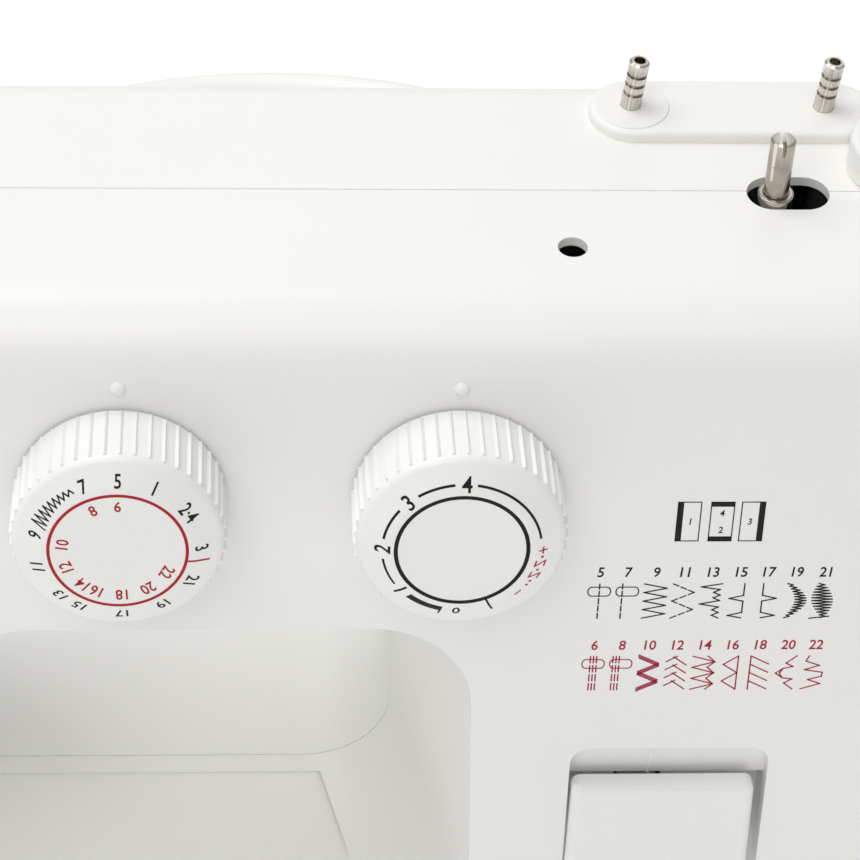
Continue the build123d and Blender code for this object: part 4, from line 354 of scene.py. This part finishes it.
def slab(print_mesh, corners):
    """Thin solid over four corners, given anticlockwise."""
    low = [print_mesh.verts.new((*corner, 0.0)) for corner in corners]
    high = [print_mesh.verts.new((*corner, INK)) for corner in corners]
    print_mesh.faces.new(high)
    print_mesh.faces.new(low[::-1])
    for a in range(4):
        b = (a + 1) % 4
        print_mesh.faces.new((low[a], low[b], high[b], high[a]))


def stroke(print_mesh, points, width=LINE):
    """Straight printed lines from point to point, with full corners."""
    for a, b in zip(points, points[1:]):
        start, end = Vector(a), Vector(b)
        along = (end - start).normalized() * width / 2
        side = Vector((-along.y, along.x))
        start, end = start - along, end + along
        count = max(1, math.ceil((end - start).length / STEP))
        for index in range(count):
            near = start.lerp(end, index / count)
            far = start.lerp(end, (index + 1) / count)
            slab(print_mesh, [near - side, far - side, far + side, near + side])


def arc(print_mesh, radius, first, last, width=LINE):
    """Printed arc round the middle, clockwise from first to last degrees."""
    count = max(2, math.ceil(math.radians(last - first) * radius / STEP))
    for index in range(count):
        a = first + (last - first) * index / count
        b = first + (last - first) * (index + 1) / count
        inner, outer = radius - width / 2, radius + width / 2
        slab(print_mesh, [polar(inner, b), polar(outer, b), polar(outer, a), polar(inner, a)])


def dashes(print_mesh, start, end, count, width=LINE, share=0.68):
    """Row of dashes from start to end."""
    start, end = Vector(start), Vector(end)
    for index in range(count):
        near = start.lerp(end, index / (count - 1 + share))
        far = start.lerp(end, (index + share) / (count - 1 + share))
        stroke(print_mesh, [near, far], width)


def cut_across(mesh, low, high):
    """Adds level cuts to a figure, so that its long sides can follow a curved face."""
    cut = bmesh.new()
    cut.from_mesh(mesh)
    for index in range(1, FIGURE_CUTS):
        level = low + (high - low) * index / FIGURE_CUTS
        everything = cut.verts[:] + cut.edges[:] + cut.faces[:]
        bmesh.ops.bisect_plane(cut, geom=everything, plane_co=(0, level, 0), plane_no=(0, 1, 0))
    cut.to_mesh(mesh)
    cut.free()


def figures(print_mesh, text, centre, height, turn=0.0, slant=0.0, narrow=0.86):
    """Printed figures centred on a point, turned clockwise by turn degrees."""
    curve = bpy.data.curves.new("figures", "FONT")
    curve.body = text
    curve.extrude = FIGURE_DEPTH
    curve.resolution_u = 3
    curve.shear = slant
    curve.offset = BOLD
    holder = bpy.data.objects.new("figures", curve)
    bpy.context.scene.collection.objects.link(holder)
    bpy.context.view_layer.update()
    solid = holder.evaluated_get(bpy.context.evaluated_depsgraph_get())
    mesh = bpy.data.meshes.new_from_object(solid)
    bpy.data.objects.remove(holder)
    bpy.data.curves.remove(curve)
    xs = [vertex.co.x for vertex in mesh.vertices]
    ys = [vertex.co.y for vertex in mesh.vertices]
    cut_across(mesh, min(ys), max(ys))
    size = height / (max(ys) - min(ys))
    middle = Vector(((max(xs) + min(xs)) / 2, (max(ys) + min(ys)) / 2, -FIGURE_DEPTH))
    shape = Matrix.Diagonal((size * narrow, size, INK, 1.0)) @ Matrix.Translation(-middle)
    place = Matrix.Translation((*centre, 0.0)) @ Matrix.Rotation(-math.radians(turn), 4, "Z")
    mesh.transform(place @ shape)
    print_mesh.from_mesh(mesh)
    bpy.data.meshes.remove(mesh)


def facing(spot, normal):
    """Frame on a face: x to the right, y up the face and z out of it."""
    out = Vector(normal).normalized()
    up = (Vector((0, 0, 1)) - out * out.z).normalized()
    right = up.cross(out)
    return Matrix.Translation(spot) @ Matrix((right, up, out)).transposed().to_4x4()


def lay_print(print_mesh, name, node, place, material):
    """Lays the flat print on a CAD node's surface and makes it a piece of that node's body."""
    tree = BVHTree.FromBMesh(mesh_of(node))
    out = place.to_3x3() @ Vector((0, 0, 1))
    for vertex in print_mesh.verts:
        above = place @ Vector((vertex.co.x, vertex.co.y, LAY_FROM))
        hit = tree.ray_cast(above, -out)[0]
        if hit is None:
            raise ValueError(f"{name} passes the edge of {node}")
        vertex.co = hit + out * (vertex.co.z + INK_GAP)
    mesh = bpy.data.meshes.new(name)
    print_mesh.to_mesh(mesh)
    print_mesh.free()
    mesh.materials.append(material)
    piece = bpy.data.objects.new(name, mesh)
    bpy.context.scene.collection.objects.link(piece)
    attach(piece, BODY_OF[node])


def mesh_of(node):
    """Copy of a CAD node's mesh."""
    copied = bmesh.new()
    copied.from_mesh(frame["nodes"][node].data)
    return copied


def dial_place(joint):
    """Frame of a dial's face: its axis and the joint's place come from the record."""
    return facing(Vector(JOINTS[joint]["pos_m"]), JOINTS[joint]["axis"])


# ---------------------------------------------------------------- pattern dial
PATTERN_RING = 15.8 * MM
PATTERN_OUTER = 19.1 * MM
PATTERN_INNER = 12.7 * MM
PATTERN_LINE = 0.75 * MM
PATTERN_MARK = 100.5                    # degrees of the red mark, which runs out of the ring
PATTERN_MARK_REACH = 5.2 * MM
DIAL_FIGURE = 3.1 * MM
INNER_SHARE = 0.95                      # size of the inner figures beside the outer
ZIGZAG_SWINGS = 19
ZIGZAG_FIRST = 290                      # degrees of its widest swing
ZIGZAG_SWEEP = 39
ZIGZAG_REACH = 1.75                     # mm, of its widest swing
ZIGZAG_FADE = 1.3                       # mm less at its narrowest
ZIGZAG_LINE = 0.36 * MM
OUTER_STITCHES = (
    ("5", 1), ("1", 27), ("2·4", 58), ("3", 89.5), ("21", 119), ("19", 148.5), ("17", 178.5),
    ("15", 209), ("13", 225), ("11", 254), ("9", 282), ("7", 337),
)
INNER_STITCHES = (
    ("6", 1), ("22", 119), ("20", 148), ("18", 177), ("16", 204), ("14", 221), ("12", 249),
    ("10", 279), ("8", 335),
)


def print_pattern_dial(materials):
    """Red ring and figures, with the black figures and growing zigzag outside it."""
    place = dial_place("pattern_dial_turn")
    black = bmesh.new()
    for text, turn in OUTER_STITCHES:
        figures(black, text, polar(PATTERN_OUTER, turn), DIAL_FIGURE, turn)
    zigzag = []
    for index in range(ZIGZAG_SWINGS):
        share = index / (ZIGZAG_SWINGS - 1)
        reach = (ZIGZAG_REACH - ZIGZAG_FADE * share) * MM * (1 if index % 2 else -1)
        zigzag.append(polar(PATTERN_OUTER + reach, ZIGZAG_FIRST + ZIGZAG_SWEEP * share))
    stroke(black, zigzag, ZIGZAG_LINE)
    dark = materials["print_black"]
    lay_print(black, "pattern_figures", "pattern_dial", place, dark)
    red = bmesh.new()
    arc(red, PATTERN_RING, 0, 360, PATTERN_LINE)
    mark_end = PATTERN_RING + PATTERN_MARK_REACH
    stroke(red, [polar(PATTERN_RING, PATTERN_MARK), polar(mark_end, PATTERN_MARK)], MARK_LINE)
    for text, turn in INNER_STITCHES:
        figures(red, text, polar(PATTERN_INNER, turn), DIAL_FIGURE * INNER_SHARE, turn)
    lay_print(red, "pattern_ring", "pattern_dial", place, materials["print_red"])


# ---------------------------------------------------------------- stitch length dial
LENGTH_RING = 15.2 * MM
LENGTH_OUTER = 18.3 * MM
LENGTH_FIGURE = 3.7 * MM
LENGTH_FIGURES = (("4", 1.5), ("3", 316), ("2", 270), ("1", 229))
LENGTH_ARCS = ((9, 81), (236, 261), (279, 307), (325, 353))
LENGTH_RING_LINE = 0.95 * MM
LENGTH_ARC_LINE = 0.55 * MM
SCALE_LINE = 0.38 * MM
BAR_SPAN = (194, 221)                   # degrees of the thick bar, made of stacked arcs
BAR_BANDS = 5
BAR_PITCH = 0.34                        # mm between its arcs
BAR_SINK = 0.9                          # mm that it starts inside the figures' circle
BAR_TOP = 1.8 * MM
BAR_END = 193.5                         # degrees of the line that closes it
BAR_END_LINE = 0.4 * MM
ZERO_TURN = 182
ZERO_SHARE = 0.85                       # size of the zero beside the pattern dial's figures
STOP_TURN = 157                         # degrees of the mark between zero and the red scale
STOP_REACH = 1.4 * MM
RED_RADIUS = LENGTH_OUTER + 0.5 * MM
RED_SIGNS = ((92, True), (134, False))  # degrees of the plus and the minus; a plus is crossed
RED_DOTS = (98, 110, 121, 125)
RED_WAVES = (104, 115)
SIGN_REACH = 0.8 * MM
DOT_LENGTH = 0.1 * MM
DOT_LINE = 0.55 * MM
WAVE_TALL = 1.15 * MM
WAVE_WIDE = 0.75 * MM


def print_length_dial(materials):
    """Black ring and scale, and the red scale of the stretch stitches."""
    place = dial_place("length_dial_turn")
    black = bmesh.new()
    arc(black, LENGTH_RING, 0, 360, LENGTH_RING_LINE)
    for first, last in LENGTH_ARCS:
        arc(black, LENGTH_OUTER, first, last, LENGTH_ARC_LINE)
    for text, turn in LENGTH_FIGURES:
        figures(black, text, polar(LENGTH_OUTER, turn), LENGTH_FIGURE, turn, narrow=0.95)
    for band in range(BAR_BANDS):
        arc(black, LENGTH_OUTER + (BAR_PITCH * band - BAR_SINK) * MM, *BAR_SPAN, SCALE_LINE)
    bar_low, bar_high = LENGTH_OUTER - BAR_SINK * MM, LENGTH_OUTER + BAR_TOP
    stroke(black, [polar(bar_low, BAR_END), polar(bar_high, BAR_END)], BAR_END_LINE)
    zero_spot = polar(LENGTH_OUTER, ZERO_TURN)
    figures(black, "0", zero_spot, DIAL_FIGURE * ZERO_SHARE, ZERO_TURN, narrow=1.1)
    stop_end = polar(LENGTH_OUTER + STOP_REACH, STOP_TURN)
    stroke(black, [polar(LENGTH_RING, STOP_TURN), stop_end], MARK_LINE)
    dark = materials["print_black"]
    lay_print(black, "length_figures", "length_dial", place, dark)
    red = bmesh.new()
    for turn, crossed in RED_SIGNS:
        middle = polar(RED_RADIUS, turn)
        across, upright = polar(SIGN_REACH, turn + 90), polar(SIGN_REACH, turn)
        stroke(red, [middle - across, middle + across], SCALE_LINE)
        if crossed:
            stroke(red, [middle - upright, middle + upright], SCALE_LINE)
    for turn in RED_DOTS:
        middle = polar(RED_RADIUS, turn)
        stroke(red, [middle, middle + polar(DOT_LENGTH, turn)], DOT_LINE)
    for turn in RED_WAVES:
        middle = polar(RED_RADIUS, turn)
        tall, wide = polar(WAVE_TALL, turn), polar(WAVE_WIDE, turn + 90)
        upper = [middle + tall + wide, middle + tall - wide]
        lower = [middle + wide - tall, middle - wide - tall]
        stroke(red, upper + lower, SCALE_LINE)
    lay_print(red, "stretch_scale", "length_dial", place, materials["print_red"])


# ---------------------------------------------------------------- stitch chart
CHART_LEFT = 35.5 * MM          # first column, from the stitch length dial's axis
CHART_PITCH = 6.79 * MM
CHART_CELL = (2.75 * MM, 10.6 * MM)     # half width and height of a stitch symbol
CHART_FIGURE = 3.0 * MM
ROW_FIGURES = (-24.1 * MM, -46.8 * MM)
ROW_SYMBOLS = (-27.7 * MM, -50.4 * MM)
BOX_SIZE = (5.5 * MM, 11.6 * MM)
BOX_TOP = -3.0 * MM
BOX_MIDDLES = (55.3 * MM, 63.2 * MM, 70.5 * MM)
BOX_LINE = 0.27 * MM
BOX_HEAVY = 1.35 * MM                   # the side that each step sews
BOX_FIGURE = 1.9 * MM
BOX_ASIDE = 0.5 * MM                    # outer figures move away from their heavy side
BOX_APART = 2.5 * MM                    # the middle box's two figures, from its middle
CHART_SLANT = 0.09
COLUMNS = 9
BUTTONHOLE_SEAMS = (0.0, -0.45)         # where the first two columns' seams cross their cells
SEAM_GAP = 0.28                         # between the lines of a triple seam, in half cells
HOLE_HEIGHT = 0.22                      # of a buttonhole's middle, down its cell
HOLE_HALF = (1.0, 0.13)
HOLE_LINE = 0.28 * MM
END_SHARE = 2.6                         # how far a buttonhole's round ends reach in
BROKEN_COLUMN = 3                       # three-step zigzag
SYMBOL_LINE = 0.35 * MM


def satin(count, path, reach):
    """Dense zigzag that sways by reach round a path, as points in a cell."""
    points = []
    for index in range(count):
        share = index / (count - 1)
        points.append((path(share) + reach(share) * (1 if index % 2 else -1), share))
    return points


def swell(share):
    """Grows from nothing to one and back along a stitch."""
    return math.sin(math.pi * share)


def zigzag_points(count, reach=1.0):
    """Even zigzag down a cell, from the left."""
    return [(reach if index % 2 else -reach, index / (count - 1)) for index in range(count)]


def stadium_points(middle, height, half_width, half_height, steps=6):
    """Closed outline with round ends, in a cell."""
    points = []
    for side in (1, -1):
        for index in range(steps + 1):
            turn = math.pi * index / steps - math.pi / 2
            along = half_width - half_height * END_SHARE + half_height * END_SHARE * math.cos(turn)
            points.append((middle + side * along, height + side * half_height * math.sin(turn)))
    return points + points[:1]


BLIND_HEM = (
    (0.9, 0.0), (-0.95, 0.09), (0.75, 0.17), (0.2, 0.25), (0.8, 0.33), (0.2, 0.41), (0.8, 0.49),
    (-0.95, 0.59), (0.75, 0.68), (0.2, 0.76), (0.8, 0.84), (0.2, 0.92), (0.8, 1.0),
)
SHELL_HEM = (
    (0.4, 0.0), (0.4, 0.34), (-0.85, 0.43), (0.4, 0.51), (0.4, 0.84), (-0.85, 0.93), (0.35, 1.0),
)
STAR_LEFT = (
    (0.9, 0.0), (0.0, 0.22), (0.65, 0.32), (-0.2, 0.38), (-0.85, 0.52), (-0.2, 0.66), (0.7, 0.7),
    (0.0, 0.82), (0.8, 1.0),
)
STAR_INNER = ((-0.2, 0.38), (-0.5, 0.52), (-0.2, 0.66))
WING = (
    (-0.45, 0.0), (-0.7, 0.16), (0.55, 0.29), (-0.75, 0.42), (0.9, 0.5), (0.85, 0.62),
    (-0.35, 0.72), (0.8, 0.84), (-0.9, 1.0),
)


def plain_symbols():
    """The black row: each entry is a column and the lines of its stitch."""
    crescent = satin(27, lambda t: -0.6 + 1.15 * swell(t), lambda t: 0.14 + 0.34 * swell(t))
    diamond = satin(25, lambda t: -0.25 + 0.5 * t, lambda t: 0.2 + 0.7 * swell(min(1.0, 1.05 * t)))
    return {
        2: [zigzag_points(9)],
        4: [BLIND_HEM],
        5: [SHELL_HEM],
        6: [[(-x, y) for x, y in SHELL_HEM]],
        7: [crescent],
        8: [diamond, [(0.75, 0.96), (-0.95, 1.02)]],
    }


def stretch_symbols():
    """The red row: each entry is a column and the lines of its stitch."""
    bands = [[(x, y + shift) for x, y in zigzag_points(5, 0.9)] for shift in (-0.045, 0.0, 0.045)]
    herringbone = []
    for row in range(4):
        height = 0.24 * row
        herringbone.append([(-0.9, height + 0.16), (0.05, height)])
        herringbone.append([(-0.25, height + 0.02), (0.9, height + 0.26)])
    comb = [[(-0.75, 0.0), (-0.75, 1.0)]]
    for row in range(4):
        comb.append([(-0.75, 0.25 * row), (0.9, 0.25 * row + 0.24)])
    return {
        2: bands,
        3: herringbone,
        4: [zigzag_points(7), [(x if x > 0 else 0.35, y) for x, y in zigzag_points(7)]],
        5: [
            [(0.6, 0.0), (0.6, 1.0)],
            [(0.6, 0.0), (-0.7, 0.25), (0.6, 0.5), (-0.7, 0.75), (0.6, 1.0)],
        ],
        6: comb,
        7: [STAR_LEFT, STAR_INNER],
        8: [WING],
    }


def in_cell(column, row, point):
    """Place of a symbol's point: across and down the cell of its column and row."""
    half, height = CHART_CELL
    across = CHART_LEFT + CHART_PITCH * column + half * point[0]
    return (across, ROW_SYMBOLS[row] - height * point[1])


def print_row(print_mesh, row, symbols, first_number):
    """A row of numbers and stitches; its first two are straight stitches across a buttonhole."""
    for column in range(COLUMNS):
        spot = (CHART_LEFT + CHART_PITCH * column, ROW_FIGURES[row])
        figures(print_mesh, str(first_number + 2 * column), spot, CHART_FIGURE, slant=CHART_SLANT)
        for line in symbols.get(column, []):
            stroke(print_mesh, [in_cell(column, row, point) for point in line], SYMBOL_LINE)
    for column, seam in enumerate(BUTTONHOLE_SEAMS):
        outline = stadium_points(0.0, HOLE_HEIGHT, *HOLE_HALF)
        stroke(print_mesh, [in_cell(column, row, point) for point in outline], HOLE_LINE)
        seams = (seam,) if row == 0 else (seam - SEAM_GAP, seam, seam + SEAM_GAP)
        for across in seams:
            top, foot = in_cell(column, row, (across, 0.0)), in_cell(column, row, (across, 1.0))
            dashes(print_mesh, top, foot, 5 - row, SYMBOL_LINE)
    if row == 0:
        turns = [in_cell(BROKEN_COLUMN, row, point) for point in zigzag_points(5, 0.95)]
        for a, b in zip(turns, turns[1:]):
            dashes(print_mesh, a, b, 3, SYMBOL_LINE)


def print_boxes(print_mesh):
    """Buttonhole steps: three outlined boxes with their heavy sides and numbers."""
    width, height = BOX_SIZE
    heavy = BOX_HEAVY
    low = BOX_TOP - height
    for index, x in enumerate(BOX_MIDDLES):
        left, right = x - width / 2, x + width / 2
        corners = [(left, BOX_TOP), (right, BOX_TOP), (right, low), (left, low), (left, BOX_TOP)]
        stroke(print_mesh, corners, BOX_LINE)
        if index == 1:
            for level in (BOX_TOP - heavy / 2, low + heavy / 2):
                stroke(print_mesh, [(left + heavy / 2, level), (right - heavy / 2, level)], heavy)
        else:
            side = left + heavy / 2 if index == 0 else right - heavy / 2
            stroke(print_mesh, [(side, BOX_TOP - heavy / 2), (side, low + heavy / 2)], heavy)
    middle = BOX_TOP - height / 2
    steps = (
        ("1", (BOX_MIDDLES[0] + BOX_ASIDE, middle)),
        ("3", (BOX_MIDDLES[2] - BOX_ASIDE, middle)),
        ("4", (BOX_MIDDLES[1], middle + BOX_APART)),
        ("2", (BOX_MIDDLES[1], middle - BOX_APART)),
    )
    for text, spot in steps:
        figures(print_mesh, text, spot, BOX_FIGURE, slant=CHART_SLANT)


def print_chart(materials):
    """Stitch chart on the pillar's front."""
    place = dial_place("length_dial_turn")
    black = bmesh.new()
    print_boxes(black)
    print_row(black, 0, plain_symbols(), 5)
    lay_print(black, "chart_black", "front_casing", place, materials["print_black"])
    red = bmesh.new()
    print_row(red, 1, stretch_symbols(), 6)
    lay_print(red, "chart_crimson", "front_casing", place, materials["print_crimson"])


# ---------------------------------------------------------------- small details
ON_BAR_HALF = 1.4 * MM
OFF_RING = 1.5 * MM
OFF_RING_LINE = 0.4 * MM
OFF_RING_STEPS = 24
OFF_RING_TURN = 15                      # degrees a step


def print_switch(materials):
    """On bar and off ring of the power switch."""
    low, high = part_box("power_switch")
    place = facing(Vector((high.x, (low.y + high.y) / 2, (low.z + high.z) / 2)), (1, 0, 0))
    marks = bmesh.new()
    reach = (high.z - low.z) / 4
    stroke(marks, [(0.0, reach - ON_BAR_HALF), (0.0, reach + ON_BAR_HALF)], MARK_LINE)
    centre = Vector((0.0, -reach))
    turns = [OFF_RING_TURN * index for index in range(OFF_RING_STEPS + 1)]
    stroke(marks, [polar(OFF_RING, turn) + centre for turn in turns], OFF_RING_LINE)
    white = materials["white_inner"]
    lay_print(marks, "switch_marks", "power_switch", place, white)


SLEEVE_RADIUS = 4.3 * MM
SLEEVE_BORE = 3.95 * MM
SLEEVE_EYE = 3.4 * MM           # the rolled rim's opening round the spindle
SLEEVE_LENGTH = 6.0 * MM
SLEEVE_LIP = 0.4 * MM           # height and depth of the rolled rim
SLEEVE_GAP = 0.03 * MM          # between the rim and the collar's top
LIP_STEPS = 4
ROUND_STEPS = 48


def turned_ring(name, profile, axis):
    """Closed ring turned from points of radius and height round an upright axis."""
    turned = bmesh.new()
    rings = []
    for radius, height in profile:
        ring = []
        for step in range(ROUND_STEPS):
            turn = math.tau * step / ROUND_STEPS
            x = axis.x + radius * math.cos(turn)
            y = axis.y + radius * math.sin(turn)
            ring.append(turned.verts.new((x, y, height)))
        rings.append(ring)
    for ring, other in zip(rings, rings[1:] + rings[:1]):
        for step in range(ROUND_STEPS):
            after = (step + 1) % ROUND_STEPS
            turned.faces.new((ring[step], ring[after], other[after], other[step]))
    bmesh.ops.recalc_face_normals(turned, faces=turned.faces)
    mesh = bpy.data.meshes.new(name)
    turned.to_mesh(mesh)
    turned.free()
    mesh.shade_smooth()
    mesh.set_sharp_from_angle(angle=SMOOTH_UNDER)
    piece = bpy.data.objects.new(name, mesh)
    bpy.context.scene.collection.objects.link(piece)
    return piece


def add_spindle_sleeve(materials):
    """Pressed nickel sleeve over the winder lever's collar, with a rolled rim."""
    low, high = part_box("winder_tyre")
    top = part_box("winder_lever")[1].z
    foot = top - SLEEVE_LENGTH
    lip_low = top + SLEEVE_GAP
    profile = [(SLEEVE_BORE, foot), (SLEEVE_RADIUS, foot), (SLEEVE_RADIUS, top)]
    for step in range(1, LIP_STEPS + 1):
        turn = math.pi / 2 * step / LIP_STEPS
        across = SLEEVE_RADIUS - SLEEVE_LIP * (1 - math.cos(turn))
        profile.append((across, top + SLEEVE_LIP * math.sin(turn)))
    profile += [(SLEEVE_EYE, top + SLEEVE_LIP), (SLEEVE_EYE, lip_low), (SLEEVE_BORE, lip_low)]
    piece = turned_ring("spindle_sleeve", profile, (low + high) / 2)
    piece.data.materials.append(materials["nickel"])
    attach(piece, BODY_OF["winder_lever"])


materials = make_materials()
add_camera()
add_studio()
finish_frame(materials)
print_pattern_dial(materials)
print_length_dial(materials)
print_chart(materials)
print_switch(materials)
add_spindle_sleeve(materials)
